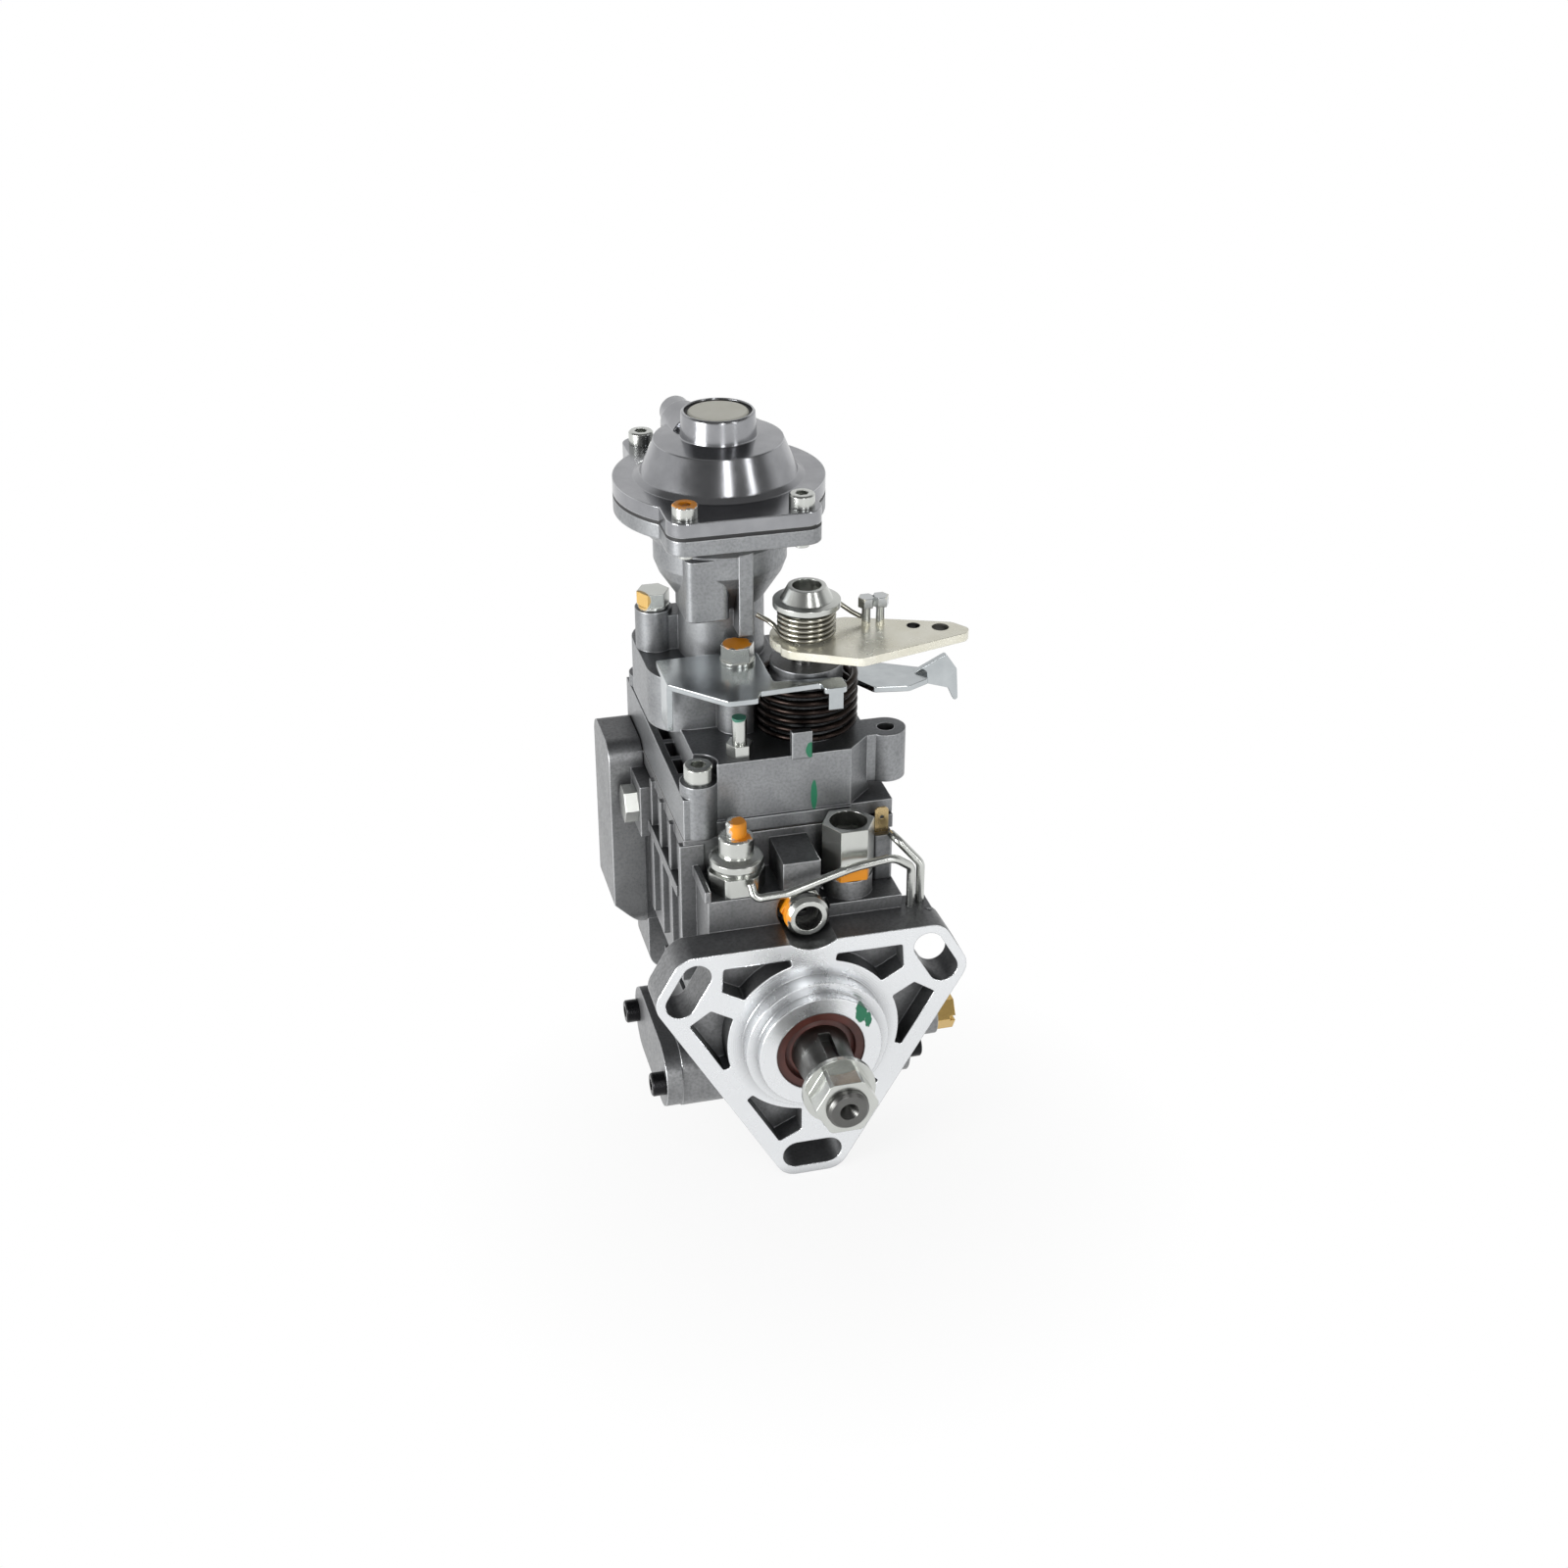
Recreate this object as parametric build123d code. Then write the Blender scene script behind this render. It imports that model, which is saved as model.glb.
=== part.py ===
"""Distributor-type diesel injection pump with boost compensator, as separate bench-strip pieces.

Origin: where the drive shaft's axis meets the mounting flange's front face.
-Y points along the shaft to the engine's gear, +Y to the delivery outlets, +Z is up.
All lengths are millimetres, all angles degrees.
"""
from build123d import *
from math import acos, cos, degrees, pi, radians, sin, sqrt, tan
import os

# ---- Running and assembly clearances
RUN = 0.03                 # radial clearance of a running fit
SLIDE = 0.05               # radial clearance of a loose guide
THREAD = 0.05              # radial gap of a screw in its hole
AIR = 0.5                  # gap between parts that pass each other

# ---- Mounting flange and pilot
FLANGE_EDGE = 38.0         # shaft axis to each long edge
FLANGE_CORNER = 58.5       # shaft axis to each cut-off corner
FLANGE_CORNER_R = 8.0
FLANGE_T = 14.0
SLOT_PITCH_R = 50.0
SLOT_W = 10.5
SLOT_LEN = 21.5
PILOT_R = 25.0
PILOT_LEN = 6.0
NOSE_R = 21.5
NOSE_LEN = 4.0
POCKET_DEPTH = 8.0
POCKET_WALL = 6.0          # flange rim left outside a pocket
POCKET_HALF_WEB = 4.0      # half of the web that runs out to each slot
POCKET_RING_R = 30.3
POCKET_END = 23.0

# ---- Shaft line
SHAFT_R = 10.0
TAPER_LEN = 21.0
TAPER_SMALL_R = 8.4
THREAD_R = 7.0
SHAFT_END = -45.0
NUT_AF = 19.0
NUT_T = 9.5
WASHER_T = 2.0
WASHER_R = 12.5
SEAL_R = 15.5
SEAL_T = 7.0
BUSH_R = 13.0
BUSH_LEN = 18.0

# ---- Vane supply pump
VANE_PUMP_Y = 20.0
VANE_PUMP_LEN = 15.0
CAM_RING_R = 25.0
ROTOR_R = 17.0
RING_OFFSET = 1.6          # eccentricity of the cam ring's bore
VANE_T = 2.0
VANES = 4
PUMP_PLATE_T = 3.0

# ---- Governor drive
GEAR_MODULE = 1.5
DRIVE_TEETH = 32
GOVERNOR_TEETH = 28
GEAR_Y = 41.0
GEAR_FACE = 7.0
BACKLASH = 0.3
GOVERNOR_SHAFT_R = 4.0
CARRIER_R = 18.0
CARRIER_LEN = 27.0
FLYWEIGHTS = 4
FLYWEIGHT_W = 10.0
SLEEVE_R = 6.5
SLEEVE_LEN = 28.0

# ---- Cam, plunger and control spool
BORE_R = 26.03             # main bore of the housing
RING_Y = 53.0
RING_T = 14.0
RING_BORE_R = 13.6
ROLLER_R = 6.0
ROLLERS = 4
ROLLER_PITCH_R = 18.6
ROLLER_LEN = 7.0
CAM_R = 25.0
CAM_BASE_T = 7.2
CAM_LIFT = 2.7
PLUNGER_R = 6.0
SPOOL_R = 12.0
SPOOL_LEN = 11.0

# ---- Distributor head
HEAD_FACE_Y = 130.0        # rear face of the housing
HEAD_BARREL = 22.0
HEAD_FLANGE_T = 12.0
HEAD_HALF = 34.0
HEAD_SCREW = 27.0
OUTLETS = 4
OUTLET_PITCH_R = 20.0
OUTLET_R = 7.0
OUTLET_AF = 14.0
OUTLET_END_Y = 182.0
VALVE_LIFT = 1.5

# ---- Housing casting
BODY_R = 34.0
BODY_HALF_W = 36.0
DECK_Z = 50.0              # front deck that carries the fittings
DECK_HALF_W = 34.0
HOUSING_TOP = 64.0
HOUSING_FRONT = 33.0
CHAMBER_HALF_W = 26.0
CHAMBER_FRONT = 38.0
CHAMBER_REAR = 105.0
SHOULDER_X = 50.0
SHOULDER_TOP = 67.0

# ---- Injection timing device
TIMING_Y = 60.0
TIMING_Z = -37.0
TIMING_BORE_R = 9.5
TIMING_HALF_W = 39.5
TIMING_HALF_LEN = 28.0
TIMING_H = 26.0
TIMING_COVER_T = 6.0
TIMING_SCREW_PITCH = 48.0
PISTON_LEN = 40.0

# ---- Governor cover
COVER_TOP = 91.0
COVER_WALL = 4.0
GASKET_T = 0.6
RAIL_TOP = 80.0
RAIL_OUT = 37.0
COVER_HALF_W = 31.0
COVER_FRONT = 34.0
COVER_REAR = 130.0
COVER_SCREW_X = 30.5
COVER_SEAT_Z = 84.5

# ---- Control lever
LEVER_X = 11.5
LEVER_Y = 54.0
LEVER_Z = 123.0
LEVER_T = 3.0
CONTROL_SHAFT_R = 5.0
LEVER_BOSS_R = 12.5
RETURN_SPRING_R = 16.8
RETURN_WIRE_R = 1.15
RETURN_TURNS = 6

# ---- Boost compensator
BOOST_X = -11.0
BOOST_Y = 85.0
BOOST_FLANGE_Z = 163.0
BOOST_JOINT_Z = 168.2
DIAPHRAGM_T = 1.2
BOOST_SCREW_X = 19.5
BOOST_SCREW_Y = 35.5
BOOST_DISC_R = 36.0
BOWL_R = 23.0
BOOST_CHAMBER_R = 19.5
BOOST_FLOOR_Z = 146.6
BOOST_TOP = 196.8

# ---- Fittings on the front deck, pipes and plugs
INLET_X = 18.2
INLET_Y = 23.3
INLET_SEAT_Z = 50.0
LOW_DECK_Z = 43.0           # right half of the deck
INLET_BORE_R = 6.5
FRONT_Y = 7.0               # nose of the front fitting, in the flange's notch
FRONT_Z = 43.0
RETURN_X = -21.0
INLET_THREAD_R = 7.0
RETURN_THREAD_R = 6.0
FRONT_THREAD_R = 6.0
PIPE_R = 1.5
PIPE_SEAT = 3.0
SWITCH_X = 31.5
SWITCH_Y = 28.5
BLADE_W = 4.8
PIPE_FEET = [(38.4, 15.0), (42.2, 16.5)]
LEDGE_PLUG = (-42.0, 92.0, 48.0)
PLUG_X = 51.0
PLUG_Y = 25.0
PLUG_Z = -15.0

# ---- Brackets and lugs on the cover
EAR_X = 38.0
EAR_Y = 47.0
STRAP_X = -33.5
STRAP_Y = 92.0
BRACKET_Z = 113.5
BRACKET_T = 2.0
BRACKET_BOLT = (-11.0, 60.6)
STRAP_Z = 125.0
NECK_R = 15.0
ADJUSTER = (-15.5, 40.0)

# ---- Boost cap, timing pin, solenoid and governor shaft
CAP_PLUG_R = 10.3
PORT_Z = 184.6
PORT_Y = 110.5
CAP_RING_W = 1.2
TIMING_PIN_BALL_R = 5.3
TIMING_SLOT = 11.0
SOLENOID_R = 11.0
GOVERNOR_SHAFT_Y = 23.0

# ---- Derived places
NOSE_FRONT = -(PILOT_LEN + NOSE_LEN)
SEAL_REAR = NOSE_FRONT + SEAL_T
BUSH_REAR = SEAL_REAR + BUSH_LEN
PUMP_PLATE_Y = VANE_PUMP_Y + VANE_PUMP_LEN
DRIVE_PITCH_R = GEAR_MODULE * DRIVE_TEETH / 2
GOVERNOR_PITCH_R = GEAR_MODULE * GOVERNOR_TEETH / 2
GOVERNOR_Z = DRIVE_PITCH_R + GOVERNOR_PITCH_R
GEAR_REAR = GEAR_Y + GEAR_FACE
CARRIER_REAR = GEAR_REAR + CARRIER_LEN
RING_REAR = RING_Y + RING_T
ROLLER_Y = RING_REAR + 1.0
CAM_Y = ROLLER_Y + ROLLER_R + 0.05
CAM_REAR = CAM_Y + CAM_LIFT + CAM_BASE_T
FOOT_T = 3.0
LEVER_PIVOT_Y = CAM_REAR + FOOT_T + 8.5
LEVER_PIVOT_Z = 28.0
HEAD_REAR = HEAD_FACE_Y + HEAD_FLANGE_T
HEAD_FRONT = HEAD_FACE_Y - HEAD_BARREL
COVER_Z = HOUSING_TOP + GASKET_T
CAP_Z = BOOST_JOINT_Z + DIAPHRAGM_T
BORE_INNER = BORE_R - RUN
CROSS_Y = RING_Y + 3.0
CROSS_REAR = CROSS_Y + 7.0
SLEEVE_REAR = CARRIER_REAR - 12 + SLEEVE_LEN
SOLENOID_Y = HEAD_REAR + 4.0
BOOST_SEAT_Z = CAP_Z + 5.0


# ---- Shape helpers
def block(x0, x1, y0, y1, z0, z1):
    """A rectangular block between two corners."""
    return Pos((x0 + x1) / 2, (y0 + y1) / 2, (z0 + z1) / 2) * Box(x1 - x0, y1 - y0, z1 - z0)


def rod_x(r, x0, x1, y=0.0, z=0.0):
    return Pos((x0 + x1) / 2, y, z) * Rot(0, 90, 0) * Cylinder(r, x1 - x0)


def rod_y(r, y0, y1, x=0.0, z=0.0):
    return Pos(x, (y0 + y1) / 2, z) * Rot(90, 0, 0) * Cylinder(r, y1 - y0)


def rod_z(r, z0, z1, x=0.0, y=0.0):
    return Pos(x, y, (z0 + z1) / 2) * Cylinder(r, z1 - z0)


def slab_x(sketch, x0, x1):
    """Extrude a sketch drawn in (Y, Z) from x0 to x1."""
    return extrude(Plane.YZ.offset(x0) * sketch, amount=x1 - x0, dir=(1, 0, 0))


def slab_y(sketch, y0, y1):
    """Extrude a sketch drawn in (X, Z) from y0 to y1."""
    return extrude(Plane.XZ.offset(-y0) * sketch, amount=y1 - y0, dir=(0, 1, 0))


def slab_z(sketch, z0, z1):
    """Extrude a sketch drawn in (X, Y) from z0 to z1."""
    return extrude(Pos(0, 0, z0) * sketch, amount=z1 - z0, dir=(0, 0, 1))


def turned_z(profile, x=0.0, y=0.0):
    """Revolve an (r, z) outline about the vertical through (x, y)."""
    face = Plane.XZ * make_face(Polyline(*profile, close=True))
    return Pos(x, y, 0) * revolve(face, Axis.Z)


def turned_y(profile, x=0.0, z=0.0):
    """Revolve an (r, y) outline about the line along Y through (x, z)."""
    face = make_face(Polyline(*profile, close=True))
    return Pos(x, 0, z) * revolve(face, Axis.Y)


def hexagon(across_flats, turn=0.0):
    return RegularPolygon(across_flats / 2, 6, major_radius=False, rotation=turn)


def socket_screw(shank_r, length, head_r, head_h, socket_af):
    """Socket-head screw, head up, with its seat at the origin."""
    head = rod_z(head_r, 0, head_h)
    head = chamfer(head.edges().filter_by(GeomType.CIRCLE).sort_by(Axis.Z)[-1], 0.5)
    head -= slab_z(hexagon(socket_af), head_h * 0.45, head_h)
    return head + rod_z(shank_r, -length, 0)


def hex_screw(shank_r, length, across_flats, head_h, washer_r=0.0, washer_t=0.0):
    """Hex-head screw, head up, with its seat at the origin."""
    body = slab_z(hexagon(across_flats), washer_t, washer_t + head_h) + rod_z(shank_r, -length, 0)
    if washer_r:
        body += rod_z(washer_r, 0, washer_t)
    return body


def coil(radius, wire_r, turns, z0, z1):
    """Compression or torsion spring wire about Z, between z0 and z1 at the wire's centre."""
    path = Helix(pitch=(z1 - z0) / turns, height=z1 - z0, radius=radius)
    section = Plane(origin=path @ 0, z_dir=path % 0) * RegularPolygon(wire_r, 6)
    return Pos(0, 0, z0) * sweep(section, path=path, is_frenet=True)


def gear(teeth, y0, y1, tooth_up):
    """Spur gear about Y with involute flanks. tooth_up puts a tooth, not a gap, at +Z."""
    pitch_r = GEAR_MODULE * teeth / 2
    base_r = pitch_r * cos(radians(20))
    tip_r = pitch_r + GEAR_MODULE
    root_r = pitch_r - 1.25 * GEAR_MODULE
    inv_pitch = tan(radians(20)) - radians(20)
    half_pitch = (pi * GEAR_MODULE - BACKLASH) / (4 * pitch_r)

    def half_angle(r):
        alpha = acos(min(1.0, base_r / r))
        return half_pitch + inv_pitch - (tan(alpha) - alpha)

    radii = [root_r, pitch_r, tip_r]
    points = []
    for tooth in range(teeth):
        middle = pi / 2 + 2 * pi * (tooth + (0 if tooth_up else 0.5)) / teeth
        for r in radii:
            points.append((r * cos(middle - half_angle(r)), r * sin(middle - half_angle(r))))
        for r in reversed(radii):
            points.append((r * cos(middle + half_angle(r)), r * sin(middle + half_angle(r))))
    return slab_y(make_face(Polyline(*points, close=True)), y0, y1)


# ---- Housing
def flange_outline():
    edges = RegularPolygon(2 * FLANGE_EDGE, 3, rotation=30)
    corners = RegularPolygon(2 * FLANGE_CORNER, 3, rotation=90)
    face = edges & corners
    return fillet(face.vertices(), FLANGE_CORNER_R)


def flange_pocket(side):
    """One lightening pocket above (side 1) or below (-1) the corner that points along +X."""
    wall = FLANGE_EDGE - POCKET_WALL
    reach = SLOT_PITCH_R - SLOT_W / 2 - 5.7
    slope = tan(radians(30))

    def on_wall(x):
        return wall / cos(radians(30)) - x * slope

    face = Polygon(
        (20, side * POCKET_HALF_WEB), (reach, side * POCKET_HALF_WEB), (reach + 4, side * on_wall(reach + 4)),
        (POCKET_END, side * on_wall(POCKET_END)), (POCKET_END - 5, side * 18), align=None)
    face -= Circle(POCKET_RING_R)
    return fillet(face.vertices(), 0.8)


def flange_slots():
    slot = Pos(SLOT_PITCH_R, 0) * SlotOverall(SLOT_LEN, SLOT_W, rotation=90)
    return Sketch() + [Rot(0, 0, corner) * slot for corner in (30, 150, 270)]


def flange():
    plate = flange_outline()
    plate -= Pos(0, FLANGE_EDGE + 9.5) * Circle(12.5)
    plate -= flange_slots()
    body = slab_y(plate, 0, FLANGE_T)
    for corner in (30, 150, 270):
        for side in (-1, 1):
            body -= slab_y(Rot(0, 0, corner) * flange_pocket(side), 0, POCKET_DEPTH)
    return body


def housing_outside():
    body = flange()
    body += rod_y(PILOT_R, -PILOT_LEN, FLANGE_T) + rod_y(NOSE_R, NOSE_FRONT, 0)
    body += rod_y(BODY_R, FLANGE_T, HEAD_FACE_Y)
    # front deck, in front of the governor chamber
    deck = Pos(1, 0) * Rectangle(2 * DECK_HALF_W, HOUSING_FRONT, align=(Align.CENTER, Align.MIN))
    body += slab_z(Pos(0, FLANGE_T) * deck, 0, DECK_Z)
    body += block(-DECK_HALF_W, -DECK_HALF_W + 2, FLANGE_T, HOUSING_FRONT, DECK_Z, DECK_Z + 4)
    # chamber walls up to the cover joint
    chamber = RectangleRounded(2 * BODY_HALF_W, HEAD_FACE_Y - HOUSING_FRONT, 5)
    chamber = Pos(0, (HEAD_FACE_Y + HOUSING_FRONT) / 2) * chamber
    body += slab_z(chamber, 0, HOUSING_TOP)
    body += block(-RAIL_OUT, RAIL_OUT, HOUSING_FRONT, COVER_REAR, HOUSING_TOP - 5, HOUSING_TOP)
    # rear joint for the distributor head
    rear = RectangleRounded(2 * BODY_HALF_W, 2 * BODY_HALF_W, 8)
    body += slab_y(rear, HEAD_FRONT, HEAD_FACE_Y)
    # boss of the governor shaft and of the front fitting
    body += block(-7, 6, FLANGE_T, HOUSING_FRONT, DECK_Z - 5, HOUSING_TOP - 3)
    body -= rod_y(9.3, FLANGE_T - 1, FRONT_Y + 12, 0, FRONT_Z)
    body -= block(7, 36, FLANGE_T, HOUSING_FRONT, LOW_DECK_Z, DECK_Z)
    body += rod_z(8.5, LOW_DECK_Z - 5, INLET_SEAT_Z, INLET_X, INLET_Y)
    # lug behind the flange that takes the two pipes, clear of the slot
    body += block(34, 45, 11, 21, 30, FLANGE_EDGE)
    body -= slab_y(flange_slots(), FLANGE_T - 1, 22)
    # timing device
    side = Pos(TIMING_Y, TIMING_Z) * RectangleRounded(2 * TIMING_HALF_LEN, TIMING_H, 10)
    body += slab_x(side, -TIMING_HALF_W, TIMING_HALF_W)
    body += block(-TIMING_HALF_W + 5, TIMING_HALF_W - 5, TIMING_Y - 24, TIMING_Y + 24, TIMING_Z, -10)
    # left rear shoulder and its ledge
    shoulder = Pos(115, (SHOULDER_TOP - 11) / 2) * RectangleRounded(30, SHOULDER_TOP + 11, 7)
    body += slab_x(shoulder, -SHOULDER_X, -RAIL_OUT - AIR)
    body += block(-RAIL_OUT - 2, -20, 101, HEAD_FACE_Y, -8, HOUSING_TOP)
    body -= Pos(-SHOULDER_X, 115, -11) * Rot(0, 45, 0) * Box(16, 40, 16)
    body += block(-42, -30, 84, 101, 38, 58)
    # ribs along the left wall
    body += block(-39, -30, HOUSING_FRONT + 4, 100, 40, 44)
    for y in (34, 50, 66, 82):
        body += block(-38.5, -30, y - 1.5, y + 1.5, 8, HOUSING_TOP - 2)
    # right-hand boss of the passage plug
    body += rod_x(8, 20, PLUG_X, PLUG_Y, PLUG_Z)
    return body


def housing():
    body = housing_outside()
    body -= rod_y(SEAL_R, NOSE_FRONT, SEAL_REAR)
    body -= rod_y(BUSH_R, SEAL_REAR, BUSH_REAR)
    body -= rod_y(SHAFT_R + 1, SEAL_REAR, VANE_PUMP_Y)
    body -= rod_y(CAM_RING_R, VANE_PUMP_Y, PUMP_PLATE_Y)
    body -= rod_y(CAM_RING_R + 2, PUMP_PLATE_Y, GEAR_Y)
    body -= rod_y(DRIVE_PITCH_R + GEAR_MODULE + 1, GEAR_Y - 1, GEAR_REAR + 1)
    body -= rod_y(BORE_R, GEAR_REAR, HEAD_FACE_Y)
    body -= block(-CHAMBER_HALF_W, CHAMBER_HALF_W, CHAMBER_FRONT, CHAMBER_REAR, 0, HOUSING_TOP)
    body -= rod_y(GOVERNOR_SHAFT_R, GOVERNOR_SHAFT_Y, CHAMBER_FRONT, 0, GOVERNOR_Z)
    body -= rod_x(TIMING_BORE_R + RUN, -TIMING_HALF_W, TIMING_HALF_W, TIMING_Y, TIMING_Z)
    body -= block(-14, 6, TIMING_Y - 5, TIMING_Y + 5, TIMING_Z, 0)
    # pivot of the governor lever
    body -= rod_x(2.5, -CHAMBER_HALF_W - 4, CHAMBER_HALF_W + 4, LEVER_PIVOT_Y, LEVER_PIVOT_Z)
    for x, y in cover_screw_places():
        body -= rod_z(3 + THREAD, HOUSING_TOP - 16, HOUSING_TOP, x, y)
    for x, z in head_screw_places():
        body -= rod_y(3 + THREAD, HEAD_FACE_Y - 14, HEAD_FACE_Y, x, z)
    for side in (-1, 1):
        for y in timing_screw_places():
            x0, x1 = sorted((side * (TIMING_HALF_W - 12), side * TIMING_HALF_W))
            body -= rod_x(2.5 + THREAD, x0, x1, y, TIMING_Z)
    body -= rod_z(INLET_THREAD_R + THREAD, INLET_SEAT_Z - 10, INLET_SEAT_Z, INLET_X, INLET_Y)
    body -= rod_z(RETURN_THREAD_R + THREAD, DECK_Z - 9, DECK_Z, RETURN_X, INLET_Y)
    body -= rod_y(FRONT_THREAD_R + THREAD, FRONT_Y + 12, FRONT_Y + 15.8, 0, FRONT_Z)
    body -= rod_x(5 + THREAD, PLUG_X - 10, PLUG_X, PLUG_Y, PLUG_Z)
    body -= rod_x(5 + THREAD, LEDGE_PLUG[0], LEDGE_PLUG[0] + 8, LEDGE_PLUG[1], LEDGE_PLUG[2])
    for x, y in PIPE_FEET:
        body -= rod_z(PIPE_R + THREAD, FLANGE_EDGE - PIPE_SEAT, FLANGE_EDGE, x, y)
    return body


# ---- Fasteners
def cover_screw_places():
    left = -COVER_SCREW_X
    return [(left, COVER_FRONT + 3), (left, COVER_REAR - 6), (COVER_SCREW_X, 82), (COVER_SCREW_X, COVER_REAR - 6)]


def head_screw_places():
    return [(x, z) for x in (-HEAD_SCREW, HEAD_SCREW) for z in (-HEAD_SCREW, HEAD_SCREW)]


def timing_screw_places():
    return [TIMING_Y - TIMING_SCREW_PITCH / 2, TIMING_Y + TIMING_SCREW_PITCH / 2]


def housing_screws():
    """M6 socket screws: four hold the cover down, four hold the head."""
    group = []
    for x, y in cover_screw_places():
        group.append(Pos(x, y, COVER_SEAT_Z) * socket_screw(3, COVER_SEAT_Z - HOUSING_TOP + 13, 5, 6, 5))
    for x, z in head_screw_places():
        group.append(Pos(x, HEAD_REAR, z) * Rot(-90, 0, 0) * socket_screw(3, HEAD_FLANGE_T + 12, 5, 6, 5))
    return group


def timing_cover_screws():
    group = []
    seat = TIMING_HALF_W + TIMING_COVER_T
    for side in (-1, 1):
        for y in timing_screw_places():
            screw = socket_screw(2.5, TIMING_COVER_T + 10, 4.3, 5, 4)
            group.append(Pos(side * seat, y, TIMING_Z) * Rot(0, side * 90, 0) * screw)
    return group


def boost_screw_places():
    return [(BOOST_X + sx * BOOST_SCREW_X, BOOST_Y + sy * BOOST_SCREW_Y) for sx in (-1, 1) for sy in (-1, 1)]


def boost_screws():
    return [Pos(x, y, BOOST_SEAT_Z) * socket_screw(2.5, 14, 4.3, 4.5, 4) for x, y in boost_screw_places()]


# ---- Front fittings and pipes


def inlet_fitting():
    """Hex union with a threaded socket for the fuel inlet banjo."""
    z = INLET_SEAT_Z
    body = slab_z(hexagon(16), z, z + 19.5)
    body = body + rod_z(INLET_THREAD_R, z - 10, z)
    body -= rod_z(INLET_BORE_R, z + 7.5, z + 19.5)
    body -= rod_z(3, z - 10, z + 7.5)
    return Pos(INLET_X, INLET_Y) * body


def return_fitting():
    """Hex-bodied valve on the left of the deck, with a smaller hex cap."""
    z = DECK_Z
    body = rod_z(RETURN_THREAD_R, z - 8, z) + slab_z(hexagon(18), z, z + 7)
    body = body & (rod_z(9.8, z - 8, z + 8))
    body += turned_z([
        (0, z + 7), (7.6, z + 7), (7.6, z + 9), (9.2, z + 9), (9.2, z + 11.4), (8.4, z + 12), (6, z + 12.6),
        (6, z + 19), (5.4, z + 19.6), (3.6, z + 19.6), (3.6, z + 24), (3, z + 25), (0, z + 25)])
    return Pos(RETURN_X, INLET_Y) * body


def front_fitting():
    """Round-nosed pressure valve that points forward above the flange."""
    body = turned_y([(0, 0), (6.4, 0), (7.6, 1.4), (7.8, 4), (7, 5), (7, 6), (0, 6)])
    body += slab_y(hexagon(14), 6, 12) + rod_y(FRONT_THREAD_R, 12, 15.5)
    body -= rod_y(4.7, 0, 9)
    body -= slab_y(hexagon(5), 9, 12)
    return Pos(0, FRONT_Y, FRONT_Z) * body


def steel_pipe(points, radii):
    path = FilletPolyline(*points, radius=radii)
    section = Plane(origin=path @ 0, z_dir=path % 0) * Circle(PIPE_R)
    return sweep(section, path=path)


def bleed_pipes():
    """Two bent steel tubes that drop into the top of the flange."""
    z0 = FLANGE_EDGE - PIPE_SEAT + 0.2
    x, y = PIPE_FEET[0]
    first = [(-18.5, 12.6, 56), (-18, 9.5, 52), (-7, 9.5, 52.4), (16.5, 11, 58.2), (31.5, 13.2, 58.6), (x, y, 53), (x, y, z0)]
    x, y = PIPE_FEET[1]
    second = [(33.4, 23, 62.2), (34.4, 18.5, 62.2), (x, y, 53), (x, y, z0)]
    return [steel_pipe(first, [2.5, 8, 30, 8, 4]), steel_pipe(second, [3, 4])]


def side_switch():
    """Small terminal block on the right of the deck, with room for its blade."""
    body = slab_z(RectangleRounded(7, 6, 1.5), LOW_DECK_Z, DECK_Z + 10.5)
    body -= block(-BLADE_W / 2, BLADE_W / 2, -0.4, 0.4, DECK_Z + 4, DECK_Z + 10.5)
    return Pos(SWITCH_X, SWITCH_Y) * body


def spade_terminal():
    """Brass blade for a push-on connector."""
    blade = Rectangle(BLADE_W, 16, align=(Align.CENTER, Align.MIN))
    blade = chamfer(blade.vertices().group_by(Axis.Y)[-1], 1.0)
    blade -= Pos(0, 12.2) * Circle(0.8)
    return Pos(SWITCH_X, SWITCH_Y, DECK_Z + 4) * slab_y(blade, -0.4, 0.4)


def passage_plugs():
    right = slab_x(hexagon(12), 0, 7) + rod_x(5, -9, 0) - block(5, 7, -7, 7, -1, 1)
    left = slab_x(hexagon(12, 0), -5, 0) + rod_x(5, 0, 7)
    return [Pos(PLUG_X, PLUG_Y, PLUG_Z) * right, Pos(*LEDGE_PLUG) * left]


# ---- Shaft line
def drive_shaft():
    taper_front = NOSE_FRONT - TAPER_LEN
    body = turned_y([
        (0, SHAFT_END), (THREAD_R - 1, SHAFT_END), (THREAD_R, SHAFT_END + 1), (THREAD_R, taper_front),
        (TAPER_SMALL_R, taper_front), (SHAFT_R, NOSE_FRONT), (SHAFT_R, RING_Y + 2), (0, RING_Y + 2)])
    body += rod_y(13, GEAR_REAR + 1, GEAR_REAR + 5)
    for side in (-1, 1):
        body += block(*sorted((side * 6.5, side * 12)), GEAR_REAR + 1, CROSS_REAR, -4.5, 4.5)
    body -= turned_y([(0, SHAFT_END), (3.2, SHAFT_END), (0, SHAFT_END + 5)])
    body -= block(-2, 2, -28, NOSE_FRONT - 3, TAPER_SMALL_R - 2, SHAFT_R + 1)
    return body


def shaft_nut():
    front = NOSE_FRONT - TAPER_LEN
    nut = slab_y(hexagon(NUT_AF), front - WASHER_T - NUT_T, front - WASHER_T)
    crown = rod_y(NUT_AF / 2 + 1.1, front - WASHER_T - NUT_T, front - WASHER_T)
    nut = nut & crown
    nut -= rod_y(THREAD_R + THREAD, SHAFT_END, front)
    washer = rod_y(WASHER_R, front - WASHER_T, front) - rod_y(THREAD_R + THREAD, SHAFT_END, front)
    return [nut, washer]


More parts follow.
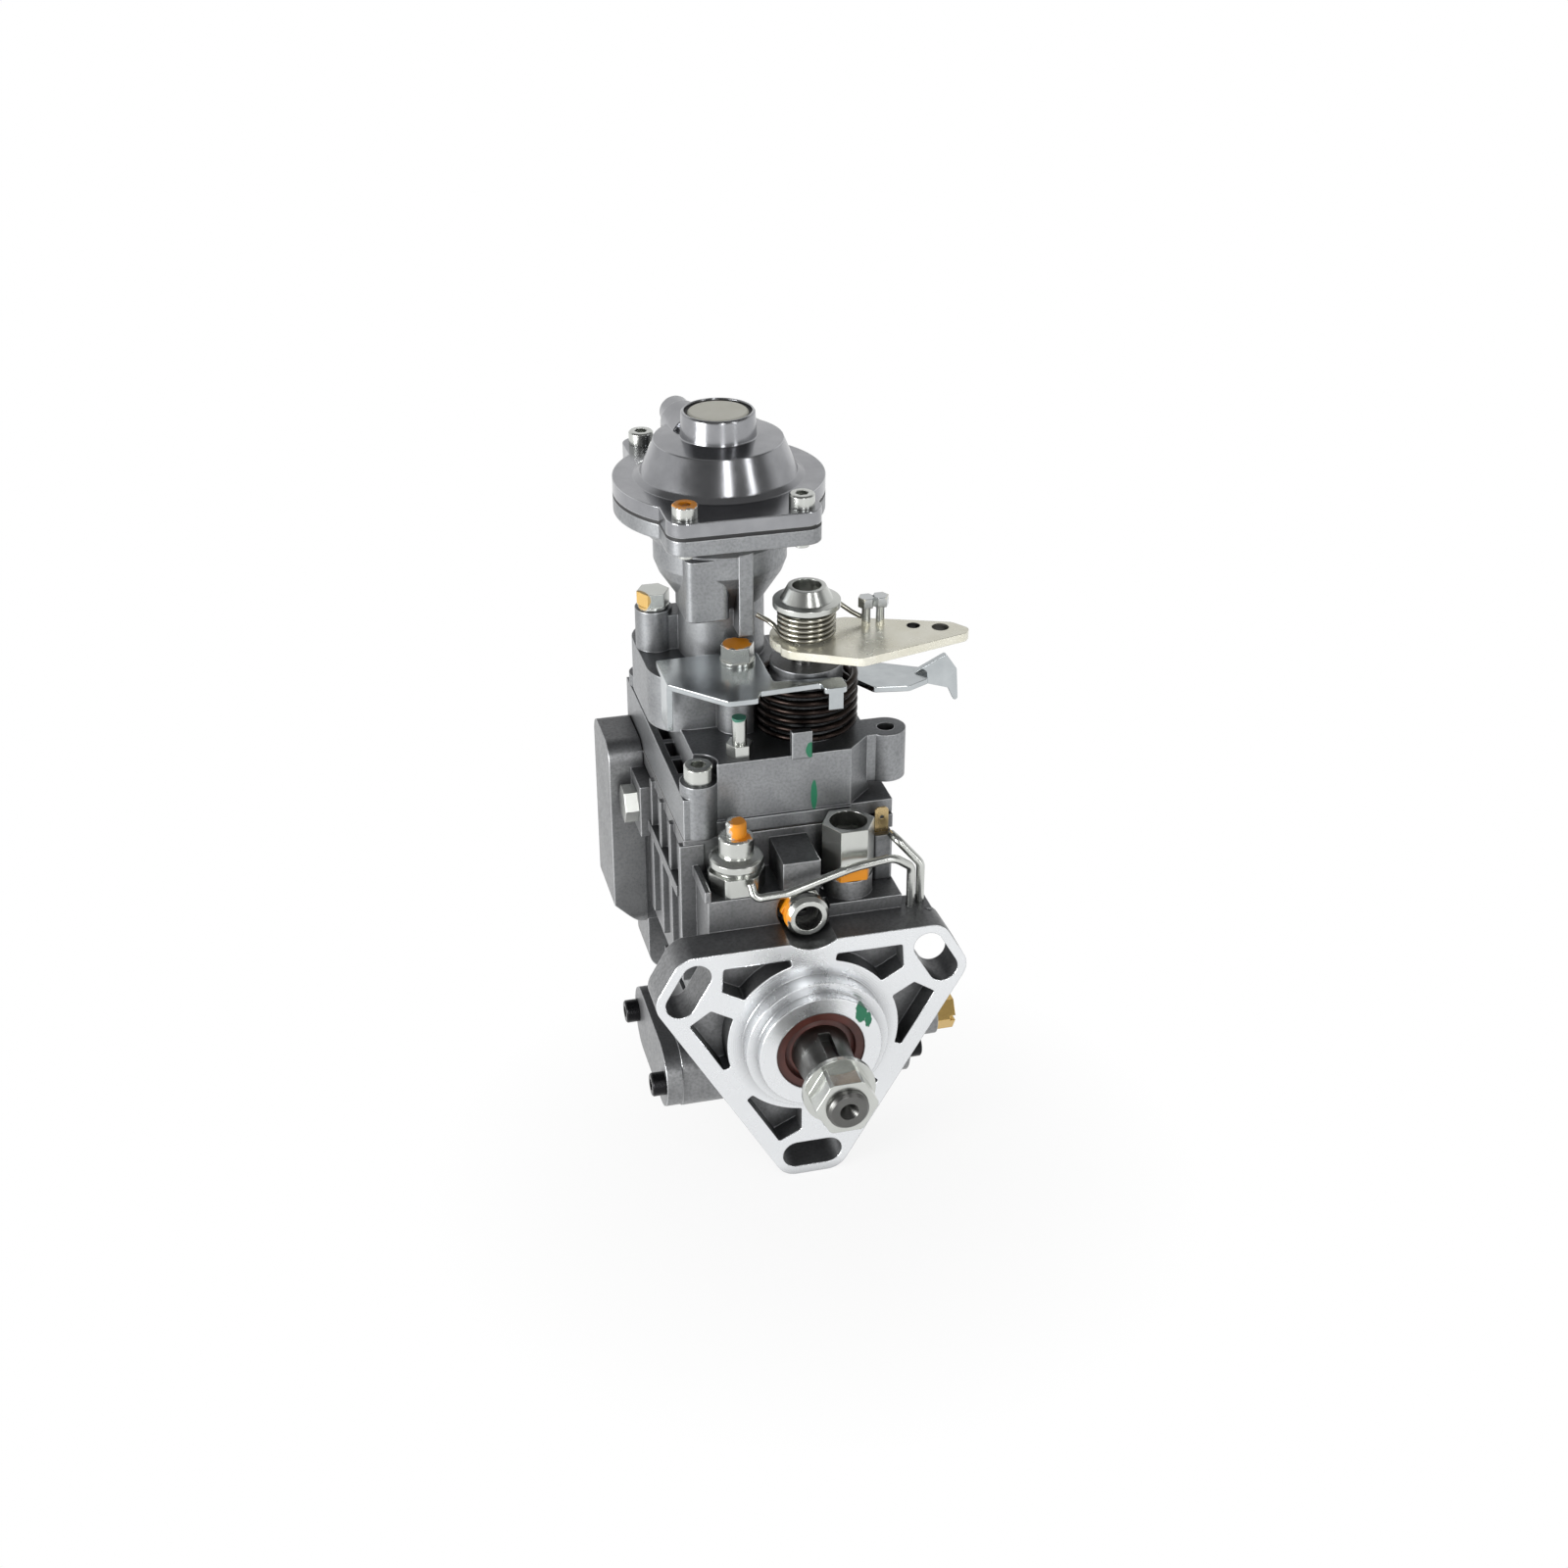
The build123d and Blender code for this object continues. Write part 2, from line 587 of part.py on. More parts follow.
def shaft_seal():
    outer = turned_y([
        (SHAFT_R + 0.05, NOSE_FRONT + 1.2), (SHAFT_R + 2, NOSE_FRONT + 2), (SEAL_R - 3, NOSE_FRONT + 0.6),
        (SEAL_R, NOSE_FRONT + 0.6), (SEAL_R, SEAL_REAR), (SEAL_R - 2, SEAL_REAR), (SEAL_R - 2, NOSE_FRONT + 3.5),
        (SHAFT_R + 2, NOSE_FRONT + 4.5), (SHAFT_R + 0.05, NOSE_FRONT + 4)])
    return outer


def front_bush():
    return rod_y(BUSH_R, SEAL_REAR, BUSH_REAR) - rod_y(SHAFT_R + RUN, SEAL_REAR, BUSH_REAR)


# ---- Vane pump
def pump_cam_ring():
    ring = rod_y(CAM_RING_R, VANE_PUMP_Y, PUMP_PLATE_Y)
    return ring - rod_y(ROTOR_R + RING_OFFSET + 0.2, VANE_PUMP_Y, PUMP_PLATE_Y, RING_OFFSET)


def pump_support_plate():
    plate = rod_y(CAM_RING_R + 2, PUMP_PLATE_Y, PUMP_PLATE_Y + PUMP_PLATE_T)
    plate -= rod_y(SHAFT_R + RUN, PUMP_PLATE_Y, PUMP_PLATE_Y + PUMP_PLATE_T)
    for angle in (60, 240):
        x = 15 * cos(radians(angle))
        z = 15 * sin(radians(angle))
        plate -= rod_y(3, PUMP_PLATE_Y, PUMP_PLATE_Y + PUMP_PLATE_T, x, z)
    return plate


def vane_rotor():
    """Slotted rotor with its four loose vanes."""
    y0 = VANE_PUMP_Y + 0.1
    y1 = PUMP_PLATE_Y - 0.1
    rotor = rod_y(ROTOR_R, y0, y1) - rod_y(SHAFT_R, y0, y1)
    vanes = []
    for index in range(VANES):
        turn = Rot(0, 360 / VANES * index, 0)
        rotor -= turn * block(SHAFT_R + 2, ROTOR_R + 1, y0, y1, -VANE_T / 2, VANE_T / 2)
        reach = ROTOR_R + 0.1
        vanes.append(turn * block(SHAFT_R + 2.2, reach, y0, y1, -VANE_T / 2 + 0.02, VANE_T / 2 - 0.02))
    return [rotor] + vanes


# ---- Governor drive and weights
def drive_gear():
    return gear(DRIVE_TEETH, GEAR_Y, GEAR_REAR, True) - rod_y(SHAFT_R, GEAR_Y, GEAR_REAR)


def governor_pins():
    """Fixed shaft of the governor and the cross pin of its lever."""
    shaft = rod_y(GOVERNOR_SHAFT_R, GOVERNOR_SHAFT_Y, CHAMBER_REAR - 20, 0, GOVERNOR_Z)
    pin = rod_x(2.5, -CHAMBER_HALF_W - 4, CHAMBER_HALF_W + 4, LEVER_PIVOT_Y, LEVER_PIVOT_Z)
    return [shaft, pin]


def at_governor(shape):
    return Pos(0, 0, GOVERNOR_Z) * shape


def flyweight_carrier():
    """Gear and cage in one: the cage has a window for each weight."""
    cage = rod_y(CARRIER_R, GEAR_REAR, CARRIER_REAR) - rod_y(CARRIER_R - 9, GEAR_REAR + 4, CARRIER_REAR)
    for index in range(FLYWEIGHTS):
        window = block(0, CARRIER_R + 1, GEAR_REAR + 4, CARRIER_REAR - 3, -FLYWEIGHT_W / 2 - 0.5,
                       FLYWEIGHT_W / 2 + 0.5)
        cage -= Rot(0, 360 / FLYWEIGHTS * index, 0) * window
    wheel = gear(GOVERNOR_TEETH, GEAR_Y, GEAR_REAR, False) + cage
    wheel -= rod_y(GOVERNOR_SHAFT_R + RUN, GEAR_Y, CARRIER_REAR)
    return at_governor(wheel)


def flyweights():
    y0 = GEAR_REAR + 4.3
    y1 = CARRIER_REAR - 3.3
    group = []
    for index in range(FLYWEIGHTS):
        weight = block(CARRIER_R - 8.5, CARRIER_R, y0, y1, -FLYWEIGHT_W / 2, FLYWEIGHT_W / 2)
        weight += block(7.2, CARRIER_R - 6, y1 - 4, y1 - 0.4, -FLYWEIGHT_W / 4, FLYWEIGHT_W / 4)
        weight = weight & rod_y(CARRIER_R - 0.3, y0, y1)
        group.append(at_governor(Rot(0, 360 / FLYWEIGHTS * index, 0) * weight))
    return group


def sliding_sleeve():
    front = CARRIER_REAR - 12
    rear = front + SLEEVE_LEN
    body = rod_y(SLEEVE_R, front, rear - 1.6) + rod_y(8.2, CARRIER_REAR - 3.4, CARRIER_REAR - 0.5)
    body += turned_y([(0, rear - 1.6), (SLEEVE_R, rear - 1.6), (1.2, rear), (0, rear)])
    body -= rod_y(GOVERNOR_SHAFT_R + RUN, front, CHAMBER_REAR - 20 + 3)
    return at_governor(body)


def governor_lever():
    """Plate that turns on its cross pin and drives the spool with a ball end."""
    top = COVER_TOP - COVER_WALL - 8
    y0 = SLEEVE_REAR + 0.15
    plate = Pos(0, (LEVER_PIVOT_Z + top) / 2) * RectangleRounded(16, top - LEVER_PIVOT_Z + 10, 4)
    body = slab_y(plate, y0, y0 + 3)
    hub = rod_x(5, -9, 9, LEVER_PIVOT_Y, LEVER_PIVOT_Z)
    body += hub + block(-8, 8, *sorted((y0, LEVER_PIVOT_Y)), LEVER_PIVOT_Z - 3, LEVER_PIVOT_Z + 3)
    body += rod_z(1.8, SPOOL_R - 1, LEVER_PIVOT_Z - 3, 0, LEVER_PIVOT_Y)
    body += Pos(0, LEVER_PIVOT_Y, SPOOL_R - 1.5) * Sphere(2.9)
    body -= rod_y(1.6, y0, y0 + 3, 4, top - 6)
    body -= rod_x(2.5 + SLIDE, -9, 9, LEVER_PIVOT_Y, LEVER_PIVOT_Z)
    return body


# ---- Cam drive
def cross_disc():
    """Yoke that lets the cam disc move along the shaft while it is driven."""
    body = rod_y(13, CROSS_Y, CROSS_REAR) - rod_y(4, CROSS_Y, CROSS_REAR)
    for turn in (0, 90, 180, 270):
        body -= Rot(0, turn, 0) * block(6.4, 14, CROSS_Y, CROSS_REAR, -4.6, 4.6)
    return body


def roller_ring():
    """Ring with four journalled rollers and the ball-ended timing pin."""
    ring = rod_y(BORE_INNER, RING_Y, RING_REAR) - rod_y(RING_BORE_R, RING_Y, RING_REAR)
    inner = ROLLER_PITCH_R - ROLLER_LEN / 2
    outer = ROLLER_PITCH_R + ROLLER_LEN / 2
    rollers = []
    for index in range(ROLLERS):
        turn = Rot(0, 45 + 360 / ROLLERS * index, 0)
        ring -= turn * block(inner - 0.3, outer + 0.3, ROLLER_Y - ROLLER_R - 0.3, RING_REAR, -ROLLER_R - 0.2,
                             ROLLER_R + 0.2)
        rollers.append(turn * rod_x(ROLLER_R, inner, outer, ROLLER_Y))
    pin = rod_z(3, TIMING_Z, -BORE_INNER + 4, 0, TIMING_Y)
    pin += Pos(0, TIMING_Y, TIMING_Z) * Sphere(TIMING_PIN_BALL_R)
    return [ring + pin] + rollers


def cam_disc():
    """Face cam: the lobes point at the rollers, the claws reach into the cross disc."""
    base = CAM_Y + CAM_LIFT
    body = rod_y(CAM_R, base, CAM_REAR)
    for index in range(ROLLERS):
        ramp = loft([Pos(0, 0, 0) * Rectangle(8, 24), Pos(0, 0, CAM_LIFT) * Rectangle(8, 10)])
        ramp = Rot(90, 0, 0) * ramp
        body += Rot(0, 45 + 360 / ROLLERS * index, 0) * Pos(ROLLER_PITCH_R, base, 0) * ramp
    body += rod_y(13, CROSS_REAR + 1, base)
    for side in (-1, 1):
        body += block(-4.5, 4.5, CROSS_Y, base, *sorted((side * 6.5, side * 12)))
    return body


def distributor_plunger():
    rear = HEAD_REAR - 4
    body = rod_y(PLUNGER_R, CAM_REAR, rear) + rod_y(9, CAM_REAR, CAM_REAR + FOOT_T)
    body -= rod_x(1.0, 0, PLUNGER_R + 1, HEAD_FACE_Y + 4)
    body -= rod_y(1.2, LEVER_PIVOT_Y, rear)
    return body


def control_spool():
    half = SPOOL_LEN / 2
    body = rod_y(SPOOL_R, LEVER_PIVOT_Y - half, LEVER_PIVOT_Y + half)
    body -= rod_y(PLUNGER_R + RUN, LEVER_PIVOT_Y - half, LEVER_PIVOT_Y + half)
    body -= rod_z(3.0, PLUNGER_R + 0.5, SPOOL_R + 1, 0, LEVER_PIVOT_Y)
    return body


def plunger_springs():
    """Two return springs either side of the plunger, on their guide pins."""
    group = []
    for side in (-1, 1):
        wire = coil(4.2, 0.8, 5, 1.0, HEAD_FRONT - CAM_REAR - 5.2)
        group.append(Pos(side * 19, CAM_REAR + 4.2, 0) * Rot(-90, 0, 0) * wire)
    return group


# ---- Timing device
def timing_piston():
    half = PISTON_LEN / 2
    body = rod_x(TIMING_BORE_R, -half, half, TIMING_Y, TIMING_Z)
    body -= rod_x(8, -half, -half + 10, TIMING_Y, TIMING_Z)
    body -= block(-TIMING_SLOT / 2, TIMING_SLOT / 2, TIMING_Y - 5.6, TIMING_Y + 5.6, TIMING_Z - 6.5,
                  TIMING_Z + TIMING_BORE_R + 1)
    return body


def timing_spring():
    x0 = -TIMING_HALF_W + 1.2
    x1 = -PISTON_LEN / 2 + 10 - 1.2
    return Pos(x0, TIMING_Y, TIMING_Z) * Rot(0, 90, 0) * coil(6.2, 1.1, 6, 0, x1 - x0)


def timing_covers():
    group = []
    for side in (-1, 1):
        face = Pos(TIMING_Y, TIMING_Z) * SlotOverall(2 * TIMING_HALF_LEN + 3, TIMING_H - 0.6)
        for y in timing_screw_places():
            face -= Pos(y, TIMING_Z) * Circle(2.5 + THREAD)
        x0, x1 = sorted((side * TIMING_HALF_W, side * (TIMING_HALF_W + TIMING_COVER_T)))
        group.append(slab_x(face, x0, x1))
    return group


# ---- Distributor head
def outlet_places():
    places = []
    for index in range(OUTLETS):
        angle = radians(45 + 360 / OUTLETS * index)
        places.append((OUTLET_PITCH_R * cos(angle), OUTLET_PITCH_R * sin(angle)))
    return places


def distributor_head():
    body = rod_y(BORE_INNER, HEAD_FRONT, HEAD_FACE_Y)
    body += slab_y(RectangleRounded(2 * HEAD_HALF, 2 * HEAD_HALF, 7), HEAD_FACE_Y, HEAD_REAR)
    for x, z in outlet_places():
        body += rod_y(OUTLET_R + 3, HEAD_REAR, HEAD_REAR + 8, x, z)
    body += rod_y(10, HEAD_REAR, HEAD_REAR + 5)
    body += block(-13, 13, HEAD_FACE_Y, SOLENOID_Y + 12, 25, HEAD_HALF)
    body -= rod_z(8 + THREAD, 26, HEAD_HALF, 0, SOLENOID_Y)
    body -= rod_y(PLUNGER_R + RUN, HEAD_FRONT, HEAD_REAR - 2)
    body -= rod_y(6 + THREAD, HEAD_REAR - 2, HEAD_REAR + 5)
    for x, z in outlet_places():
        body -= rod_y(OUTLET_R + THREAD, HEAD_REAR - 4, HEAD_REAR + 8, x, z)
    for x, z in head_screw_places():
        body -= rod_y(3 + THREAD, HEAD_FACE_Y, HEAD_REAR, x, z)
    return body


def delivery_valve_holders():
    """Four unions with a coned seat for the injector pipes."""
    group = []
    hex_y = HEAD_REAR + 8
    for x, z in outlet_places():
        body = rod_y(OUTLET_R, HEAD_REAR - 4, hex_y) + slab_y(hexagon(OUTLET_AF), hex_y, hex_y + 10)
        body += rod_y(OUTLET_R - 1, hex_y + 10, OUTLET_END_Y)
        body -= rod_y(4.2, HEAD_REAR - 4, hex_y + 4)
        body -= rod_y(1.5, hex_y + 4, OUTLET_END_Y)
        body -= turned_y([(0, OUTLET_END_Y - 4.5), (3.9, OUTLET_END_Y), (0, OUTLET_END_Y)])
        group.append(Pos(x, 0, z) * body)
    return group


def delivery_valve(x, z):
    y0 = HEAD_REAR - 3.9
    body = rod_y(3.9, y0, y0 + 3) + rod_y(2.6, y0 + 3, y0 + 9)
    return Pos(x, 0, z) * body


def centre_plug():
    body = slab_y(hexagon(14), HEAD_REAR + 5, HEAD_REAR + 12) + rod_y(6, HEAD_REAR - 1.5, HEAD_REAR + 5)
    return body


def stop_solenoid():
    z = HEAD_HALF
    body = rod_z(8, z - 7, z) + slab_z(hexagon(24), z, z + 7)
    body += turned_z([
        (0, z + 7), (SOLENOID_R, z + 7), (SOLENOID_R, z + 28), (SOLENOID_R - 2, z + 30), (4, z + 30),
        (4, z + 32), (2.5, z + 32), (2.5, z + 40), (0, z + 40)])
    body -= rod_z(4 + SLIDE, z - 7, z + 18)
    return Pos(0, SOLENOID_Y) * body


def solenoid_armature():
    z = HEAD_HALF - 6
    return Pos(0, SOLENOID_Y) * rod_z(4, z, z + 20)


# ---- Governor cover
def deck_outline(inset=0.0):
    left = -COVER_HALF_W + inset
    right = COVER_HALF_W - inset
    front = COVER_FRONT + inset
    rear = COVER_REAR - inset
    nick = 9.0 - inset * 0.6
    return Polygon((left, front), (right - nick, front), (right, front + nick), (right, rear), (left, rear), align=None)


def boost_flange_outline():
    ears = RectangleRounded(2 * BOOST_SCREW_X + 13, 2 * BOOST_SCREW_Y + 13, 6.4)
    return Pos(BOOST_X, BOOST_Y) * (ears + Circle(BOOST_DISC_R))


def cover_outside():
    body = slab_z(deck_outline(), COVER_Z, COVER_TOP)
    # joint flange and outer rail with its cast pockets
    body += block(-RAIL_OUT, RAIL_OUT, HOUSING_FRONT, COVER_REAR, COVER_Z, COVER_Z + 5)
    body -= block(COVER_HALF_W - 9, RAIL_OUT + 1, HOUSING_FRONT - 1, COVER_FRONT, COVER_Z, COVER_Z + 5)
    body += block(-RAIL_OUT, -RAIL_OUT + 2.6, COVER_FRONT - 2, COVER_REAR, COVER_Z, RAIL_TOP)
    for y in (50, 63, 76, 89, 102, 114):
        body += block(-RAIL_OUT, -COVER_HALF_W + 1, y - 1.2, y + 1.2, COVER_Z, RAIL_TOP)
    for x, y in cover_screw_places():
        body += rod_z(6.5, COVER_Z, COVER_SEAT_Z, x, y)
    # unused tapped lug on the right
    body += rod_z(7, COVER_TOP - 18, COVER_TOP, EAR_X, EAR_Y)
    body += block(COVER_HALF_W - 4, EAR_X, EAR_Y - 5, EAR_Y + 7, COVER_TOP - 18, COVER_TOP)
    # boss of the control shaft
    body += rod_z(LEVER_BOSS_R, COVER_TOP, LEVER_Z - 6, LEVER_X, LEVER_Y)
    # body of the boost compensator
    foot = Pos(BOOST_X - 6, BOOST_Y + 2) * RectangleRounded(46, 52, 14)
    body += slab_z(foot, COVER_TOP - 1, 110) - spring_space()
    body += turned_z([
        (0, 108), (NECK_R, 108), (NECK_R, 131), (BOWL_R - 1.5, 141), (BOWL_R, 145), (BOWL_R, BOOST_FLANGE_Z - 10),
        (BOOST_DISC_R - 3, BOOST_FLANGE_Z), (0, BOOST_FLANGE_Z)], BOOST_X, BOOST_Y)
    body += slab_z(boost_flange_outline(), BOOST_FLANGE_Z, BOOST_JOINT_Z)
    # cast pad, rib and lugs on the neck
    pad = RectangleRounded(15, 22, 3)
    body += slab_z(Pos(BOOST_X - 9, BOOST_Y - 11) * pad, 130, BOOST_FLANGE_Z - 11)
    body += block(BOOST_X + 1, BOOST_X + 6, BOOST_Y - BOWL_R - 0.6, BOOST_Y, 124, BOOST_FLANGE_Z - 3)
    body += rod_z(6.5, COVER_TOP, STRAP_Z, STRAP_X, STRAP_Y)
    body += block(STRAP_X, BOOST_X, STRAP_Y - 5, STRAP_Y + 5, COVER_TOP, STRAP_Z - 2)
    boss = rod_z(7.5, COVER_TOP, BRACKET_Z, BRACKET_BOLT[0], BRACKET_BOLT[1])
    body += boss - spring_space()
    body += block(1, 8, COVER_FRONT - 1, COVER_FRONT + 1.6, COVER_TOP - 1, COVER_TOP + 9)
    return body


def spring_space():
    """Room kept free round the return spring."""
    return rod_z(RETURN_SPRING_R + RETURN_WIRE_R + AIR, COVER_TOP, BRACKET_Z, LEVER_X, LEVER_Y)


def governor_cover():
    body = cover_outside()
    cavity = slab_z(deck_outline(COVER_WALL), COVER_Z, COVER_TOP - COVER_WALL)
    for x, y in cover_screw_places():
        cavity -= rod_z(8, COVER_Z, COVER_TOP, x, y)
    body -= cavity
    body -= rod_z(CONTROL_SHAFT_R + RUN, COVER_TOP - COVER_WALL, LEVER_Z, LEVER_X, LEVER_Y)
    body -= rod_z(BOOST_CHAMBER_R, BOOST_FLOOR_Z, BOOST_JOINT_Z, BOOST_X, BOOST_Y)
    body -= rod_z(4 + SLIDE, COVER_TOP - COVER_WALL, BOOST_FLOOR_Z, BOOST_X, BOOST_Y)
    for x, y in cover_screw_places():
        body -= rod_z(3 + THREAD, COVER_Z, COVER_TOP, x, y)
        body -= rod_z(6.5, COVER_SEAT_Z, COVER_TOP, x, y)
    for x, y in boost_screw_places():
        body -= rod_z(2.5 + THREAD, BOOST_FLANGE_Z - 1, BOOST_JOINT_Z, x, y)
    body -= rod_z(3, COVER_TOP - 12, COVER_TOP, EAR_X, EAR_Y)
    body -= rod_z(3 + THREAD, STRAP_Z - 12, STRAP_Z, STRAP_X, STRAP_Y)
    body -= rod_z(3 + THREAD, BRACKET_Z - 12, BRACKET_Z, *BRACKET_BOLT)
    body -= rod_z(2.5 + THREAD, COVER_TOP - 4, COVER_TOP, *ADJUSTER)
    return body


def cover_gasket():
    face = deck_outline() + Pos(0, (HOUSING_FRONT + COVER_REAR) / 2) * Rectangle(
        2 * RAIL_OUT, COVER_REAR - HOUSING_FRONT)
    face -= Pos(COVER_HALF_W, HOUSING_FRONT) * Rectangle(18, 6)
    face -= deck_outline(COVER_WALL + 1)
    for x, y in cover_screw_places():
        face -= Pos(x, y) * Circle(3 + THREAD)
    return slab_z(face, HOUSING_TOP, COVER_Z)


def full_load_adjuster():
    """Adjusting screw with its lock nut."""
    screw = rod_z(2.5, COVER_TOP - 3.8, COVER_TOP + 14)
    nut = slab_z(hexagon(8), COVER_TOP, COVER_TOP + 4.5) - rod_z(2.5 + THREAD, COVER_TOP, COVER_TOP + 5)
    return [Pos(*ADJUSTER) * screw, Pos(*ADJUSTER) * nut]


# ---- Boost compensator
def boost_cap():
    body = slab_z(boost_flange_outline(), CAP_Z, BOOST_SEAT_Z)
    body += turned_z([
        (0, CAP_Z), (29, CAP_Z), (29, BOOST_SEAT_Z), (26.8, BOOST_SEAT_Z + 1.5), (22, BOOST_TOP - 9.6), (13, BOOST_TOP - 8.6),
        (12.5, BOOST_TOP - 0.6), (12, BOOST_TOP), (0, BOOST_TOP)], BOOST_X, BOOST_Y)
    body += rod_y(7.5, BOOST_Y + 8, PORT_Y, BOOST_X - 7, PORT_Z)
    body += rod_y(5.5, PORT_Y, PORT_Y + 11, BOOST_X - 7, PORT_Z)
    body -= turned_z([(0, CAP_Z), (24.5, CAP_Z), (23.5, BOOST_SEAT_Z), (19, BOOST_TOP - 13), (0, BOOST_TOP - 13)], BOOST_X, BOOST_Y)
    body -= rod_y(3.8, BOOST_Y + 10, PORT_Y + 11, BOOST_X - 7, PORT_Z)
    body -= rod_z(CAP_PLUG_R + CAP_RING_W, BOOST_TOP - 6, BOOST_TOP, BOOST_X, BOOST_Y)
    for x, y in boost_screw_places():
        body -= rod_z(2.5 + THREAD, CAP_Z, BOOST_SEAT_Z, x, y)
    return body


def boost_cap_plug():
    z = BOOST_TOP - 6
    return turned_z([(0, z), (CAP_PLUG_R, z), (CAP_PLUG_R, z + 5.2), (CAP_PLUG_R - 0.5, z + 5.7), (0, z + 5.7)],
                    BOOST_X, BOOST_Y)


def boost_cap_ring():
    z = BOOST_TOP - 6
    ring = rod_z(CAP_PLUG_R + CAP_RING_W, z, z + 5.2, BOOST_X, BOOST_Y)
    return ring - rod_z(CAP_PLUG_R, z, z + 5.2, BOOST_X, BOOST_Y)


def boost_diaphragm():
    face = boost_flange_outline() - Pos(BOOST_X, BOOST_Y) * Circle(BOOST_CHAMBER_R - 1.5)
    for x, y in boost_screw_places():
        face -= Pos(x, y) * Circle(2.5 + THREAD)
    return slab_z(face, BOOST_JOINT_Z, CAP_Z)


def boost_guide_pin():
    """Stepped guide pin with the two plates that clamp the diaphragm."""
    plate_r = BOOST_CHAMBER_R - 2
    lower = BOOST_JOINT_Z
    return turned_z([
        (0, 97), (2.5, 97), (2.5, 104), (4, 114), (4, lower - 2.2), (plate_r - 4, lower - 2.2),
        (plate_r, lower - 1), (plate_r, CAP_Z + 1.5), (6, CAP_Z + 1.5), (6, CAP_Z + 6), (0, CAP_Z + 6)], BOOST_X, BOOST_Y)


def boost_spring():
    z0 = BOOST_FLOOR_Z + 1.4
    z1 = BOOST_JOINT_Z - 2.2 - 1.4
    return Pos(BOOST_X, BOOST_Y, 0) * coil(12.5, 1.2, 5, z0, z1)


# ---- Control lever
def control_shaft():
    body = rod_z(CONTROL_SHAFT_R, 78, LEVER_Z + 16)
    body += slab_z(SlotCenterToCenter(8, 9, rotation=135), 78, 84)
    return Pos(LEVER_X, LEVER_Y) * body


def throttle_lever():
    """Stamped lever with its cable holes and the two stop screws."""
    corners = [(0, 46), (2.5, 42), (24.5, 30.5), (64, 41), (66.5, 44.5), (62, 51), (28, 64), (11, 64)]
    plate = Polygon(*corners, align=None)
    plate = fillet(plate.vertices(), 3.0)
    plate += Pos(LEVER_X, LEVER_Y) * Circle(LEVER_BOSS_R)
    plate -= Pos(LEVER_X, LEVER_Y) * Circle(CONTROL_SHAFT_R)
    plate -= Pos(57, 48) * Circle(2.8)
    plate -= Pos(48.5, 51.5) * Circle(2.2)
    body = slab_z(plate, LEVER_Z, LEVER_Z + LEVER_T)
    screws = []
    for x in (33, 38):
        body -= rod_z(1.5 + THREAD, LEVER_Z, LEVER_Z + LEVER_T, x, 56)
        screw = rod_z(1.5, -6, 7) + slab_z(hexagon(5), 7, 10.5)
        screws.append(Pos(x, 56, LEVER_Z + LEVER_T) * screw)
    return [body] + screws


def lever_collar():
    z = LEVER_Z + LEVER_T
    body = turned_z([
        (CONTROL_SHAFT_R, z), (7.5, z), (7.5, z + 11), (11.5, z + 11), (11.5, z + 13), (9, z + 13.5),
        (6.5, z + 18), (CONTROL_SHAFT_R, z + 18)])
    return Pos(LEVER_X, LEVER_Y) * body


def lever_spring():
    z = LEVER_Z + LEVER_T + 1.2
    return Pos(LEVER_X, LEVER_Y) * coil(9.3, 0.9, 4, z, z + 8)


def return_spring():
    z0 = COVER_TOP + RETURN_WIRE_R + 0.2
    z1 = BRACKET_Z - RETURN_WIRE_R - 0.3
    wire = coil(RETURN_SPRING_R, RETURN_WIRE_R, RETURN_TURNS, z0, z1)
    return Pos(LEVER_X, LEVER_Y) * wire


def governor_spring():
    y0 = LEVER_Y + 9
    y1 = SLEEVE_REAR - 0.5
    return Pos(4.5, y0, 80) * Rot(-90, 0, 0) * coil(3.2, 0.7, 7, 0, y1 - y0)


# ---- Brackets
def spring_bracket():
    """Bent sheet that anchors the return spring, bolted to the cover's boss."""
    face = Polygon((-38, 49), (-21, 31), (-11, 31), (-9, 36), (12, 37), (12, 32.2), (20, 32.2), (20, 40),
                   (-3, 42), (-3, 66), (-14, 68), (-38, 68), align=None)
    face = fillet(face.vertices(), 1.5)
    face -= Pos(*BRACKET_BOLT) * Circle(3 + THREAD)
    face -= Pos(BOOST_X, BOOST_Y) * Circle(NECK_R + AIR)
    face -= Pos(LEVER_X, LEVER_Y) * Circle(LEVER_BOSS_R + AIR)
    body = slab_z(face, BRACKET_Z, BRACKET_Z + BRACKET_T)
    body += block(-38, -36, 50, 60, BRACKET_Z - 16, BRACKET_Z + BRACKET_T)
    body += block(13.5, 18.5, 32.2, 33.7, BRACKET_Z - 6, BRACKET_Z + BRACKET_T)
    return body


def bracket_bolts():
    first = hex_screw(3, 10, 10, 5.5, 6, 1.2)
    second = hex_screw(3, 10, 10, 5, 5.5, 1.2)
    return [Pos(BRACKET_BOLT[0], BRACKET_BOLT[1], BRACKET_Z + BRACKET_T) * first,
            Pos(STRAP_X, STRAP_Y, STRAP_Z) * second]


def cable_bracket():
    """Stamped arm with its hook on the right of the cover."""
    z = 104.0
    face = Polygon((25, 64), (34, 48), (46, 46), (54, 50), (56, 58), (42, 66), (33, 73), (25, 73), align=None)
    face = fillet(face.vertices(), 2.0)
    face -= Pos(LEVER_X, LEVER_Y) * Circle(RETURN_SPRING_R + RETURN_WIRE_R + AIR)
    body = slab_z(face, z, z + 2)
    hook = Polygon((50, 2), (62, 8), (66, 2), (67, -14), (63, -5), (54, -2), align=None)
    hook = fillet(hook.vertices(), 0.9)
    body += Pos(0, 0, z) * slab_y(hook, 55, 57)
    body += rod_z(3.5, COVER_TOP, z, 29, 68.5)
    return body


